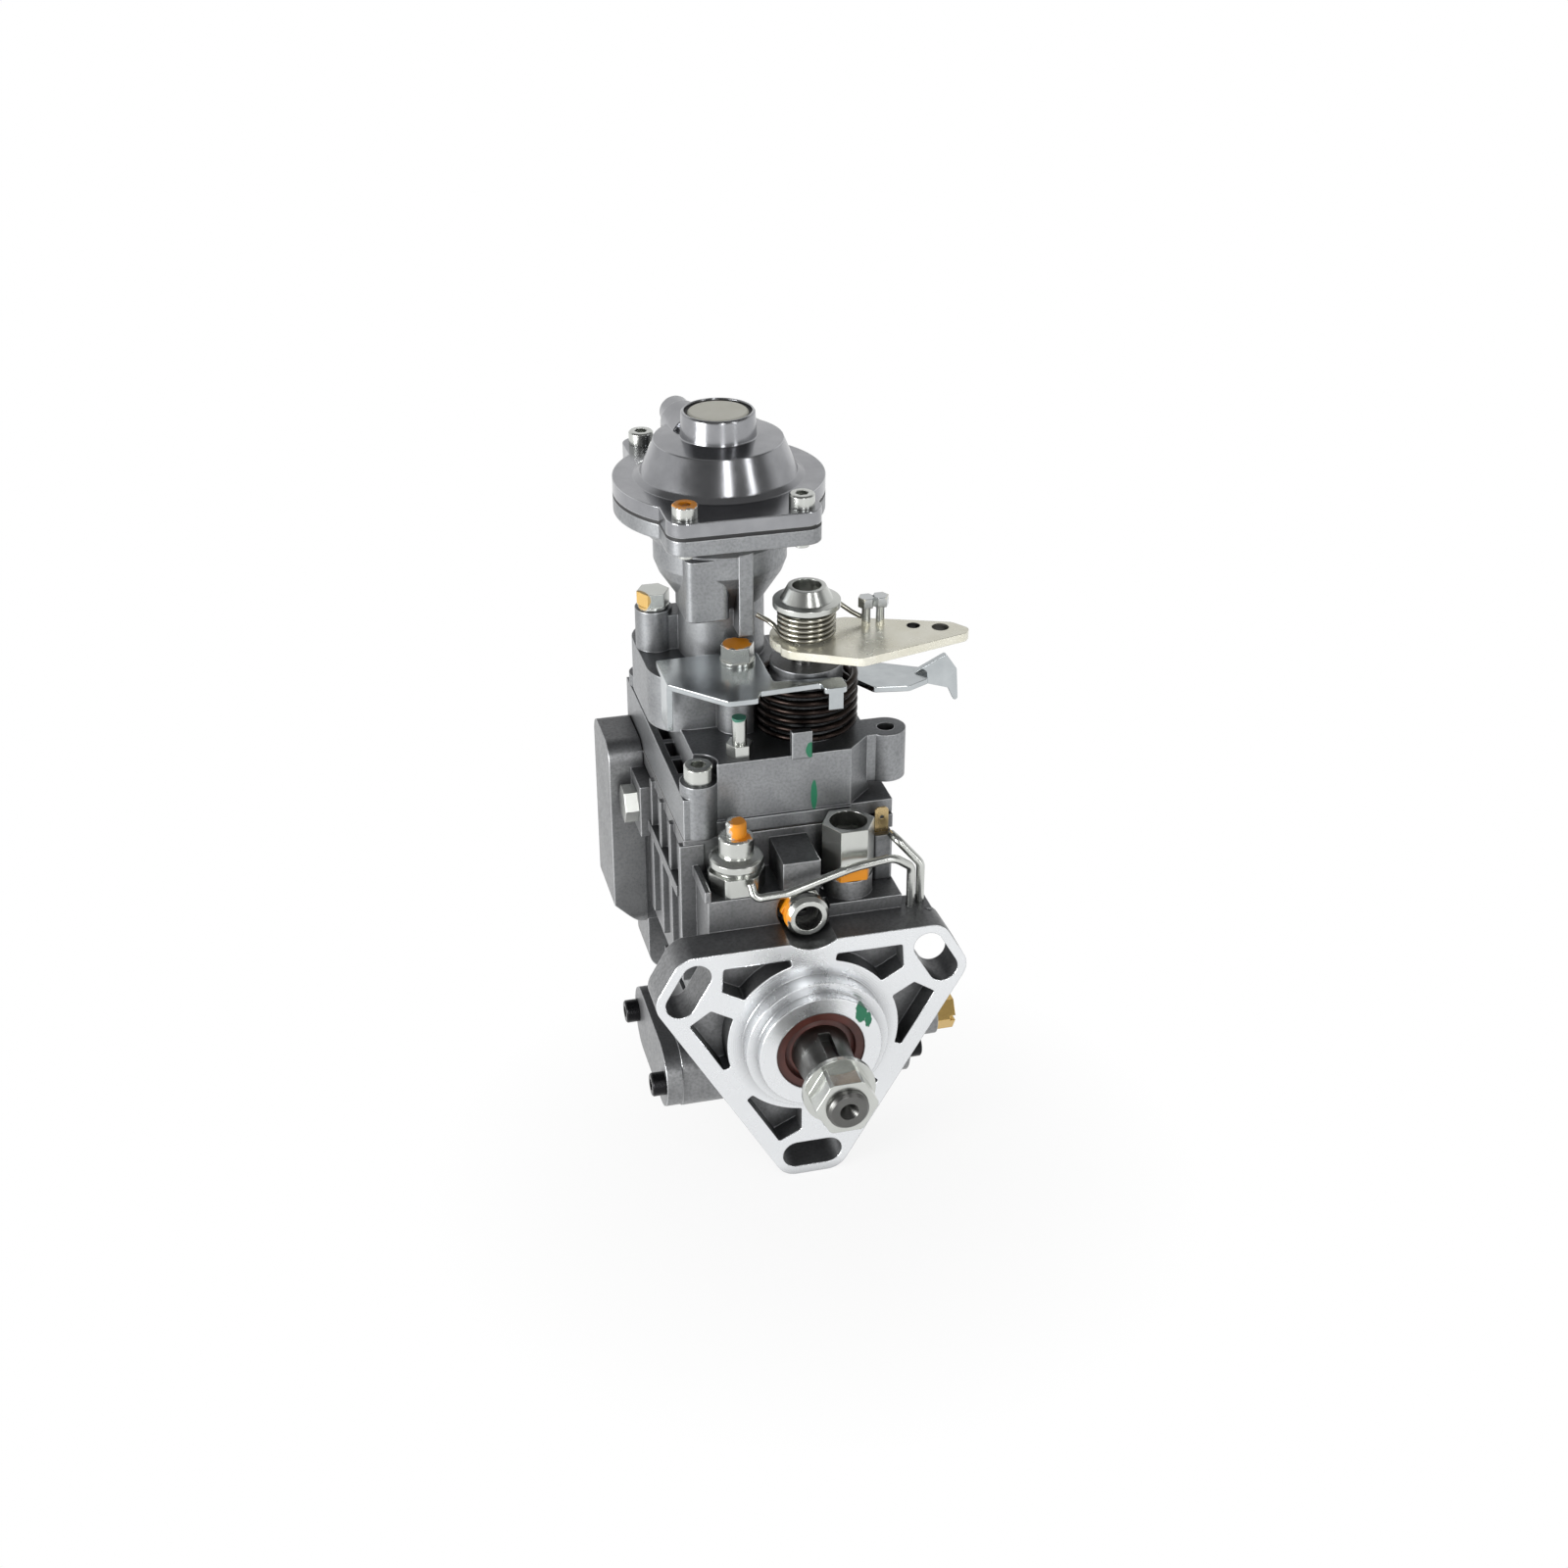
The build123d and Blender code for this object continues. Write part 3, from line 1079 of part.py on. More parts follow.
# ---- Assembly
def write(name, shapes):
    parts = shapes if isinstance(shapes, list) else [shapes]
    solids = []
    for part in parts:
        solids.extend(part.solids())
    shape = solids[0] if len(solids) == 1 else Compound(children=solids)
    shape.label = name
    export_step(shape, "parts/" + name + ".step")


SUBPARTS = {
    "housing": housing,
    "governor_cover": governor_cover,
    "cover_gasket": cover_gasket,
    "housing_screws": housing_screws,
    "boost_cap": boost_cap,
    "boost_cap_plug": boost_cap_plug,
    "boost_cap_ring": boost_cap_ring,
    "boost_screws": boost_screws,
    "boost_diaphragm": boost_diaphragm,
    "boost_guide_pin": boost_guide_pin,
    "boost_spring": boost_spring,
    "front_bush": front_bush,
    "shaft_seal": shaft_seal,
    "drive_shaft": drive_shaft,
    "shaft_nut": shaft_nut,
    "pump_cam_ring": pump_cam_ring,
    "pump_support_plate": pump_support_plate,
    "vane_rotor": vane_rotor,
    "drive_gear": drive_gear,
    "governor_pins": governor_pins,
    "flyweight_carrier": flyweight_carrier,
    "flyweights": flyweights,
    "sliding_sleeve": sliding_sleeve,
    "governor_lever": governor_lever,
    "governor_spring": governor_spring,
    "cross_disc": cross_disc,
    "roller_ring": roller_ring,
    "cam_disc": cam_disc,
    "distributor_plunger": distributor_plunger,
    "control_spool": control_spool,
    "plunger_springs": plunger_springs,
    "timing_piston": timing_piston,
    "timing_spring": timing_spring,
    "timing_covers": timing_covers,
    "timing_cover_screws": timing_cover_screws,
    "distributor_head": distributor_head,
    "delivery_valve_holders": delivery_valve_holders,
    "centre_plug": centre_plug,
    "stop_solenoid": stop_solenoid,
    "solenoid_armature": solenoid_armature,
    "inlet_fitting": inlet_fitting,
    "return_fitting": return_fitting,
    "front_fitting": front_fitting,
    "bleed_pipes": bleed_pipes,
    "side_switch": side_switch,
    "spade_terminal": spade_terminal,
    "passage_plugs": passage_plugs,
    "full_load_adjuster": full_load_adjuster,
    "spring_bracket": spring_bracket,
    "bracket_bolts": bracket_bolts,
    "cable_bracket": cable_bracket,
    "control_shaft": control_shaft,
    "throttle_lever": throttle_lever,
    "lever_collar": lever_collar,
    "lever_spring": lever_spring,
    "return_spring": return_spring,
}

os.makedirs("parts", exist_ok=True)
for name, make in SUBPARTS.items():
    write(name, make())
for index, (x, z) in enumerate(outlet_places()):
    write("delivery_valve_" + str(index + 1), delivery_valve(x, z))
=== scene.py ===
from math import cos, pi, sin
import bpy
from mathutils import Matrix, Vector


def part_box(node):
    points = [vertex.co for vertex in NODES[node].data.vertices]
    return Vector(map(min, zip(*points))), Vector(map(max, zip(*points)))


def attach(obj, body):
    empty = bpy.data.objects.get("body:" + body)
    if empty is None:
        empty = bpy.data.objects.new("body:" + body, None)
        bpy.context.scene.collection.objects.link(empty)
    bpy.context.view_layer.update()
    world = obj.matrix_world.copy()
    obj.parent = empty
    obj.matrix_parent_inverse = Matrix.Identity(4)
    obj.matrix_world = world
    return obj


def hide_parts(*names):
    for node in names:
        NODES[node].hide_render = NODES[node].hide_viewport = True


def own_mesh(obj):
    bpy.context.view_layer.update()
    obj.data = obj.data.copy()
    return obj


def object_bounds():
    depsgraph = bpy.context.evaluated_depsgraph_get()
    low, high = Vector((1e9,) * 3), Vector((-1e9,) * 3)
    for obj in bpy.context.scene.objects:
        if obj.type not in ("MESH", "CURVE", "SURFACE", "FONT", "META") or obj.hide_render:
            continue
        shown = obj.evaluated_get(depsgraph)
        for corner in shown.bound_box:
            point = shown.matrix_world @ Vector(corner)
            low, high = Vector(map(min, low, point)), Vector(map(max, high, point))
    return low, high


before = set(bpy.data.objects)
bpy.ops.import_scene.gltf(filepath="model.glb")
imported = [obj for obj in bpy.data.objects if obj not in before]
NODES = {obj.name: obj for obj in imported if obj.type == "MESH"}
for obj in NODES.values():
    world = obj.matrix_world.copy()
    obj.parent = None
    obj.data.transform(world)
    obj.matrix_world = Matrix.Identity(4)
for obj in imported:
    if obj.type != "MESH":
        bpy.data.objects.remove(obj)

CAD_BOX = [list(corner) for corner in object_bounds()]
MM = 0.001

# ---- Colours and nodes
# A Mix node has its own sockets for plain values and for colours
FACTOR = 0
VALUE_A, VALUE_B = 2, 3
COLOUR_A, COLOUR_B, COLOUR_OUT = 6, 7, 2


def srgb(text):
    """Linear RGBA of an sRGB hex colour."""
    shares = [int(text[i:i + 2], 16) / 255 for i in (0, 2, 4)]
    return tuple(s / 12.92 if s <= 0.04045 else ((s + 0.055) / 1.055) ** 2.4 for s in shares) + (1.0,)


def add(tree, kind, inputs=None, **settings):
    """Adds a node; inputs maps a socket to a value, to an output, or to a node, for its first output."""
    node = tree.nodes.new(kind)
    for key, value in settings.items():
        setattr(node, key, value)
    for key, value in (inputs or {}).items():
        if isinstance(value, bpy.types.Node):
            value = value.outputs[0]
        if isinstance(value, bpy.types.NodeSocket):
            tree.links.new(value, node.inputs[key])
        else:
            node.inputs[key].default_value = value
    return node


def new_material(name):
    """An empty node material, and its tree."""
    material = bpy.data.materials.new(name)
    material.use_nodes = True
    material.node_tree.nodes.clear()
    return material, material.node_tree


# ---- Sizes of the patterns, in mm
# One pixel covers about 0.3 mm of the part, and the grain of blasted, cast, oxidised and moulded
# surfaces is finer than that, so it is drawn 0.4 to 1.1 mm wide, as coarse as it needs to show.
STAIN_PATCH = 11.1       # a stained patch on metal
SHAFT_PATCH = 8.33       # a stained patch on the shaft
SKIN_PATCH = 6.67        # a darker patch on rubber, plastic or fibre
MARK_WAVE = 2.38         # the waves along the edge of a mark
FACE_RINGS = 0.738       # tool rings of the turned faces; a real feed is too fine to show
SHAFT_RINGS = 0.4        # tool rings of the shaft, coarser than real ones for the same reason
WORN_RELIEF = 0.3        # how far the grain of worn metal stands up where relief is 1
SKIN_RELIEF = 0.1        # the same for the shaft, rubber, plastic and fibre
SHAFT_EASE = 0.4         # radius of the shaft's eased edges
SKIN_EASE = 0.3          # the same for rubber, plastic and fibre
SHADE_REACH = 7           # how far into a corner its painted shade reaches
TURN_EDGE = 0.1          # half the width over which a turned face ends
WAVE_SPAN = 0.31         # metres between the rings of a wave texture whose scale is 1

# How broken up the noises are
CLOUDY = {"Detail": 4.0, "Roughness": 0.6}
LOOSE = {"Detail": 3.0, "Roughness": 0.6}
SOFT = {"Detail": 3.0, "Roughness": 0.5}

# How far the tool rings wander, and how broken up they are
FACE_TOOLING = {"Distortion": 0.8, "Detail": 2.0, "Detail Scale": 2.0}
SHAFT_TOOLING = {"Distortion": 0.6, "Detail": 2.0, "Detail Scale": 3.0}

# Which part of a pattern counts, from none to all of its effect
GLOSS_SPAN = {"From Min": 0.3, "From Max": 0.7}       # noise, for the roughness
PATCH_SPAN = {"From Min": 0.35, "From Max": 0.7}      # noise, for stained patches
SHAFT_SPAN = {"From Min": 0.35, "From Max": 0.75}     # the same on the shaft
FLECK_SPAN = {"From Min": 0.42, "From Max": 0.68}     # noise, for dark flecks in the grain
UPWARD_SPAN = {"From Min": 0.5, "From Max": 0.9}      # how far a face looks up, for the painted shade on upward faces
CORNER_SPAN = {"From Min": 0.3, "From Max": 0.9}      # how open a place is, for the painted shade in the corners
OPEN_SPAN = {"From Min": 0.5, "From Max": 0.9}        # the same, for the outer edges
BENT_SPAN = {"From Min": 0.99, "From Max": 0.85}      # how far an eased edge turns away from its face

FACE_VARY = (0.04, 0.08)     # how much smoother and rougher the turned faces get
SHAFT_VARY = (0.07, 0.08)    # the same on the shaft
RING_HEIGHT = 0.25           # height of the turned faces' rings, as a share of WORN_RELIEF
SHAFT_STAIN = 0.4            # how dark the shaft's patches are
SKIN_STAIN = 0.6             # the same on rubber, plastic and fibre
MARK_SOFT = 0.06             # how soft a mark's edge is, as a share of its radius
PLATING_ROUGH = 0.25         # roughness of a plated mark
PAINT_ROUGH = 0.42           # roughness of a painted one


def cells(size):
    """Noise scale that makes the cells this many mm wide."""
    return 1 / (size * MM)


def rings(pitch):
    """Wave scale that sets the rings this many mm apart."""
    return WAVE_SPAN / (pitch * MM)


def mark_mask(tree, where, spots, ragged):
    """1 inside each spot, given by its middle and its half-widths in mm, with a ragged edge."""
    wander = add(tree, "ShaderNodeTexNoise", {"Vector": where, "Scale": cells(MARK_WAVE), **LOOSE})
    edge = 1.0 + ragged / 2
    mask = 0.0
    for middle, reach in spots:
        shift = add(tree, "ShaderNodeVectorMath", {0: where, 1: [m * MM for m in middle]},
                    operation="SUBTRACT")
        shares = add(tree, "ShaderNodeVectorMath", {0: shift, 1: [r * MM for r in reach]}, operation="DIVIDE")
        far = add(tree, "ShaderNodeVectorMath", {0: shares}, operation="LENGTH").outputs["Value"]
        broken = add(tree, "ShaderNodeMath", {0: wander, 1: ragged, 2: far}, operation="MULTIPLY_ADD")
        inside = add(tree, "ShaderNodeMapRange", {"Value": broken, "From Min": edge - MARK_SOFT,
                                                  "From Max": edge + MARK_SOFT, "To Min": 1.0, "To Max": 0.0})
        mask = add(tree, "ShaderNodeMath", {0: mask, 1: inside}, operation="MAXIMUM")
    return mask


def worn_metal(name, colour, dark, rough, vary, grain, relief, metallic=1.0, edge=0.5, stain=0.35, corner_shade=0.5,
               marks=(), turned=None, upward_shade=0.0, fleck=0.0, rubbed_highlight=0.0):
    """Metal with a grain, stained patches, painted shade in the corners and on upward faces, and eased edges.

    The roughness varies by vary either way over the grain, which is given in mm and stands up by relief.
    edge is the radius of the eased edges in mm, stain how dark the patches are, corner_shade how dark the
    painted shade in the corners is, fleck how much the grain darkens, upward_shade how dark the painted shade
    on upward faces is and rubbed_highlight how bright the outer edges are, partly as real wear and partly as
    a painted highlight. turned is the colour, the roughness and the highest Y in mm of turned faces. Each
    mark is its colour, its spots, how ragged it is and whether it is plating.
    """
    material, tree = new_material(name)
    place = add(tree, "ShaderNodeTexCoord")
    where = place.outputs["Object"]
    fine = add(tree, "ShaderNodeTexNoise", {"Vector": where, "Scale": cells(grain), **CLOUDY})
    patches = add(tree, "ShaderNodeTexNoise", {"Vector": where, "Scale": cells(STAIN_PATCH), **CLOUDY})
    gloss = add(tree, "ShaderNodeMapRange", {"Value": fine, **GLOSS_SPAN, "To Min": rough - vary,
                                             "To Max": rough + vary})
    eased = add(tree, "ShaderNodeBevel", {"Radius": edge * MM}, samples=8)
    height = fine
    metal = metallic
    # what lies on the metal, and the painted shade and highlight, from the lowest layer up: how much of each,
    # and its colour
    stained = add(tree, "ShaderNodeMapRange", {"Value": patches, **PATCH_SPAN, "To Max": stain})
    layers = [(stained, dark)]
    if fleck:
        flecks = add(tree, "ShaderNodeMapRange", {"Value": fine, **FLECK_SPAN, "To Max": fleck})
        layers.append((flecks, dark))
    # painted shade on upward faces, darkening the tops as the dark above them would
    if upward_shade:
        facing = add(tree, "ShaderNodeSeparateXYZ", {"Vector": place.outputs["Normal"]}).outputs["Z"]
        upward = add(tree, "ShaderNodeMapRange", {"Value": facing, **UPWARD_SPAN, "To Max": upward_shade})
        layers.append((upward, TOP_SHADE))
    if turned:
        bright, smooth, limit = turned
        depth = add(tree, "ShaderNodeSeparateXYZ", {"Vector": where}).outputs["Y"]
        cut = add(tree, "ShaderNodeMapRange", {"Value": depth, "From Min": (limit - TURN_EDGE) * MM,
                                               "From Max": (limit + TURN_EDGE) * MM, "To Min": 1.0,
                                               "To Max": 0.0})
        tooled = add(tree, "ShaderNodeTexWave", {"Vector": where, "Scale": rings(FACE_RINGS), **FACE_TOOLING},
                     wave_type="RINGS", rings_direction="Y").outputs["Fac"]
        layers.append((cut, bright))
        cut_gloss = add(tree, "ShaderNodeMapRange", {"Value": patches, **GLOSS_SPAN,
                                                     "To Min": smooth - FACE_VARY[0],
                                                     "To Max": smooth + FACE_VARY[1]})
        gloss = add(tree, "ShaderNodeMix", {FACTOR: cut, VALUE_A: gloss, VALUE_B: cut_gloss},
                    data_type="FLOAT")
        cut_height = add(tree, "ShaderNodeMapRange", {"Value": tooled, "To Max": RING_HEIGHT})
        height = add(tree, "ShaderNodeMix", {FACTOR: cut, VALUE_A: fine, VALUE_B: cut_height},
                     data_type="FLOAT")
    if corner_shade or rubbed_highlight:
        shade = add(tree, "ShaderNodeAmbientOcclusion", {"Distance": SHADE_REACH * MM},
                    samples=8).outputs["AO"]
    # painted shade in the corners, darkest where the occlusion is deepest
    if corner_shade:
        painted_corner_shade = add(tree, "ShaderNodeMapRange", {"Value": shade, **CORNER_SPAN, "To Min": corner_shade,
                                                "To Max": 0.0})
        layers.append((painted_corner_shade, dark))
    # pale outer edges: partly real wear, partly a painted highlight
    if rubbed_highlight:
        flat = add(tree, "ShaderNodeNewGeometry").outputs["Normal"]
        along = add(tree, "ShaderNodeVectorMath", {0: eased, 1: flat},
                    operation="DOT_PRODUCT").outputs["Value"]
        bent = add(tree, "ShaderNodeMapRange", {"Value": along, **BENT_SPAN, "To Max": rubbed_highlight})
        outer = add(tree, "ShaderNodeMapRange", {"Value": shade, **OPEN_SPAN})
        corner = add(tree, "ShaderNodeMath", {0: bent, 1: outer}, operation="MULTIPLY")
        layers.append((corner, RUBBED_HIGHLIGHT))
    for tint, spots, ragged, plated in marks:
        mask = mark_mask(tree, where, spots, ragged)
        layers.append((mask, tint))
        gloss = add(tree, "ShaderNodeMix", {FACTOR: mask, VALUE_A: gloss,
                                            VALUE_B: PLATING_ROUGH if plated else PAINT_ROUGH},
                    data_type="FLOAT")
        metal = add(tree, "ShaderNodeMix", {FACTOR: mask, VALUE_A: metal, VALUE_B: float(plated)},
                    data_type="FLOAT")
    base = srgb(colour)
    for amount, tint in layers:
        base = add(tree, "ShaderNodeMix", {FACTOR: amount, COLOUR_A: base, COLOUR_B: srgb(tint)},
                   data_type="RGBA").outputs[COLOUR_OUT]
    bump = add(tree, "ShaderNodeBump", {"Height": height, "Strength": relief, "Distance": WORN_RELIEF * MM,
                                        "Normal": eased})
    shader = add(tree, "ShaderNodeBsdfPrincipled", {"Base Color": base, "Metallic": metal, "Roughness": gloss,
                                                    "Normal": bump})
    add(tree, "ShaderNodeOutputMaterial", {"Surface": shader})
    return material


def turned_shaft(name, colour, dark, rough, relief):
    """Steel with fine tool rings about the shaft's axis."""
    material, tree = new_material(name)
    where = add(tree, "ShaderNodeTexCoord").outputs["Object"]
    tooled = add(tree, "ShaderNodeTexWave", {"Vector": where, "Scale": rings(SHAFT_RINGS), **SHAFT_TOOLING},
                 wave_type="RINGS", rings_direction="Y").outputs["Fac"]
    patches = add(tree, "ShaderNodeTexNoise", {"Vector": where, "Scale": cells(SHAFT_PATCH), **LOOSE})
    stained = add(tree, "ShaderNodeMapRange", {"Value": patches, **SHAFT_SPAN, "To Max": SHAFT_STAIN})
    base = add(tree, "ShaderNodeMix", {FACTOR: stained, COLOUR_A: srgb(colour), COLOUR_B: srgb(dark)},
               data_type="RGBA").outputs[COLOUR_OUT]
    gloss = add(tree, "ShaderNodeMapRange", {"Value": patches, **GLOSS_SPAN, "To Min": rough - SHAFT_VARY[0],
                                             "To Max": rough + SHAFT_VARY[1]})
    eased = add(tree, "ShaderNodeBevel", {"Radius": SHAFT_EASE * MM}, samples=4)
    bump = add(tree, "ShaderNodeBump", {"Height": tooled, "Strength": relief, "Distance": SKIN_RELIEF * MM,
                                        "Normal": eased})
    shader = add(tree, "ShaderNodeBsdfPrincipled", {"Base Color": base, "Metallic": 1.0, "Roughness": gloss,
                                                    "Normal": bump})
    add(tree, "ShaderNodeOutputMaterial", {"Surface": shader})
    return material


def moulded(name, colour, dark, rough, grain, relief, specular=0.5):
    """Rubber, plastic or pressed fibre with soft patches and a fine skin, whose grain is in mm."""
    material, tree = new_material(name)
    where = add(tree, "ShaderNodeTexCoord").outputs["Object"]
    fine = add(tree, "ShaderNodeTexNoise", {"Vector": where, "Scale": cells(grain), **SOFT})
    patches = add(tree, "ShaderNodeTexNoise", {"Vector": where, "Scale": cells(SKIN_PATCH), **SOFT})
    mottled = add(tree, "ShaderNodeMapRange", {"Value": patches, **PATCH_SPAN, "To Max": SKIN_STAIN})
    base = add(tree, "ShaderNodeMix", {FACTOR: mottled, COLOUR_A: srgb(colour), COLOUR_B: srgb(dark)},
               data_type="RGBA").outputs[COLOUR_OUT]
    eased = add(tree, "ShaderNodeBevel", {"Radius": SKIN_EASE * MM}, samples=4)
    bump = add(tree, "ShaderNodeBump", {"Height": fine, "Strength": relief, "Distance": SKIN_RELIEF * MM,
                                        "Normal": eased})
    shader = add(tree, "ShaderNodeBsdfPrincipled", {"Base Color": base, "Roughness": rough,
                                                    "Specular IOR Level": specular, "Normal": bump})
    add(tree, "ShaderNodeOutputMaterial", {"Surface": shader})
    return material


# ---- Colours of marks, and of painted shade and highlight
ORANGE = "DA8A16"        # assembly paint
GREEN = "1B6B4C"         # the same, on the castings
DARK_GREEN = "2E6B58"    # the same, darker
OCHRE = "BD9A56"         # sealing lacquer
CHROMATE = "CFAE6B"      # yellow chromate plating
BARE_ZINC = "C6C9CA"     # uncoloured plating
DARK = "0E0E0F"          # the unlit inside of a bore
TOP_SHADE = "343538"         # painted shade on upward faces
RUBBED_HIGHLIGHT = "E2E4E6"        # pale edge of a casting: partly real wear, partly a painted highlight

# ---- Materials, by real finish
TURNED_TO = 0.3          # highest Y, in mm, of the turned flange face and pilot

# Sand-cast aluminium, bead blasted: a dull grey grain with grime in the pits, painted shade in the corners
# and on upward faces, and pale edges, partly worn and partly a painted highlight. The flange face and the
# pilot are turned bright.
cast = worn_metal("cast_aluminium_blasted", "969798", "4E4F51", rough=0.45, vary=0.07, grain=1.1, relief=0.2,
                  metallic=0.9, stain=0.3, corner_shade=0.65, upward_shade=0.5, fleck=0.35, rubbed_highlight=0.6, edge=0.7,
                  turned=("E6E8EA", 0.25, TURNED_TO),
                  marks=[(GREEN, [((14, -10, 14), (2.2, 4, 4)), ((16.5, -10, 10.5), (1.2, 4, 3))],
                          0.9, False)])
# Die-cast aluminium of the cover: a little smoother and paler, with more painted shade in its corners,
# and the same painted shade on its tops and painted highlight on its edges as the sand casting
cover_cast = worn_metal("die_cast_aluminium", "999B9D", "525355", rough=0.40, vary=0.07, grain=1.0,
                        relief=0.14, metallic=0.9, stain=0.25, corner_shade=0.75, upward_shade=0.55, fleck=0.3,
                        rubbed_highlight=0.6, edge=0.7,
                        marks=[(GREEN, [((7.5, 32.5, 93), (1.8, 2, 3)), ((9, 34, 75), (1.1, 2, 6))],
                                0.5, False)])
# Pressure-cast aluminium of the head, oxidised: a darker grey with the same grain, and the same painted
# shade in its corners and on its tops and painted highlight on its edges
head_cast = worn_metal("cast_aluminium_oxidised", "7E7F81", "48494B", rough=0.42, vary=0.07, grain=1.1,
                       relief=0.18, metallic=0.9, stain=0.3, corner_shade=0.8, upward_shade=0.5, fleck=0.35, rubbed_highlight=0.5,
                       edge=0.7)

# On burnished, plated, ground and drawn metal the grain is too fine to see. What shows instead is a gloss
# that drifts over 6 to 10 mm, so that is the grain given here, and nothing stands up.
# Die-cast aluminium burnished by tumbling: a soft sheen with blurred reflections, light painted shade in
# its corners and pale edges, partly worn and partly a painted highlight
cap_cast = worn_metal("die_cast_aluminium_tumbled", "A0A1A4", "6C6D71", rough=0.19, vary=0.03, grain=10,
                      relief=0.0, corner_shade=0.3, edge=0.8, rubbed_highlight=0.6)
# Electroplated zinc on small steel parts: a pale, even, silvery gloss
ZINC = dict(colour="CDCFCB", dark="979994", rough=0.26, vary=0.015, grain=8, relief=0.0, edge=0.35,
            stain=0.15, corner_shade=0.0)
zinc = worn_metal("zinc_plated_steel", **ZINC)
# The same plating with assembly paint, sealing lacquer and yellow chromate on it, and with unlit bores
painted_zinc = worn_metal(
    "zinc_plated_steel_marked", **ZINC,
    marks=[(ORANGE, [((-30.5, 49.5, 180.5), (5, 5, 3.2)), ((-11, 60.6, 122.6), (5.2, 5.2, 1.7)),
                     ((-19.6, 21.6, 72.5), (4.0, 4.0, 6.0)), ((-8, 14, 44), (3.4, 8, 7)),
                     ((18.2, 15, 52), (9, 4, 3))],
            0.9, False),
           (OCHRE, [((-39, 88, 129), (3.6, 5, 4))], 0.5, False),
           (CHROMATE, [((53, 25, -15), (7, 14, 14))], 0.1, True),
           (DARK, [((0, 16, 43), (4.9, 9.5, 4.9)), ((18.2, 23.3, 61), (6.7, 6.7, 7.5))], 0.1, False),
           (DARK_GREEN, [((-16, 39.5, 105.5), (3, 3, 2))], 0.5, False)])
# Bluish chromated zinc on the stampings under the lever: cooler and glossier, with grey patches
blue_zinc = worn_metal("blue_chromated_steel", "C3C8CA", "868C90", rough=0.20, vary=0.02, grain=8, relief=0.0,
                       edge=0.4, stain=0.3, corner_shade=0.0)
# Yellow passivated zinc on the lever: a warm, creamy, half-metallic gloss, with one bare pad
# and painted shade in its holes
yellow_zinc = worn_metal("yellow_passivated_steel", "EFEDE0", "D3CFB8", rough=0.27, vary=0.02, grain=8,
                         relief=0.0, edge=0.4, stain=0.5, metallic=0.6, corner_shade=0.0,
                         marks=[(BARE_ZINC, [((35.5, 56, 133), (6, 4, 6.5))], 0.1, True),
                                (DARK, [((57, 48, 124.5), (2.95, 2.95, 20)),
                                        ((48.5, 51.5, 124.5), (2.35, 2.35, 20))],
                                 0.0, False)])
# Ground steel of the pieces inside: bright and clean, with painted shade in its corners
steel = worn_metal("ground_steel", "B8B8B6", "7A7A78", rough=0.24, vary=0.02, grain=6, relief=0.0, edge=0.3)
# Drawn spring wire: a greyish yellow shine, with painted shade between the turns
bright_wire = worn_metal("spring_steel_wire", "B5B3A8", "6B675C", rough=0.24, vary=0.02, grain=6, relief=0.0,
                         edge=0.0, corner_shade=0.5)
# Brass sheet of the terminal's blade, and the bronze bush, which looks alike: warm, smooth, a little dull
brass = worn_metal("brass_sheet", "C9B184", "A38E5E", rough=0.28, vary=0.02, grain=6, relief=0.0, edge=0.2,
                   corner_shade=0.0)

# Oil-tempered wire: nearly black brown, with a slight scale and painted shade between the turns
spring_wire = worn_metal("oil_tempered_wire", "2B2421", "131010", rough=0.30, vary=0.06, grain=0.8,
                         relief=0.08, edge=0.0, corner_shade=0.4)
# Black oxide on the screws of the timing covers: satin black, with painted shade in its corners
black_steel = worn_metal("black_oxide_steel", "222224", "101011", rough=0.30, vary=0.06, grain=0.7,
                         relief=0.10, metallic=0.8)
# Turned steel of the shaft: dark grey, with tool rings that catch the light
shaft_steel = turned_shaft("turned_steel", "6E6E6C", "424241", rough=0.32, relief=0.30)
# Brown fluoro rubber of the shaft seal: a soft, even, satin skin
seal_rubber = moulded("brown_seal_rubber", "4E241C", "351813", rough=0.40, grain=0.6, relief=0.2)
# Black moulded rubber: a dull skin
black_rubber = moulded("black_rubber", "1B1B1C", "101011", rough=0.55, grain=0.6, relief=0.2)
# Cream plastic plug of the cap: smooth, with a mild gloss
cream = moulded("cream_moulded_plastic", "E8E7DA", "DCDACB", rough=0.42, grain=0.9, relief=0.12)
# Pressed fibre of the gasket: a dry, dark, matt edge
fibre = moulded("pressed_fibre", "3C3936", "2A2826", rough=0.85, grain=0.4, relief=0.5, specular=0.2)

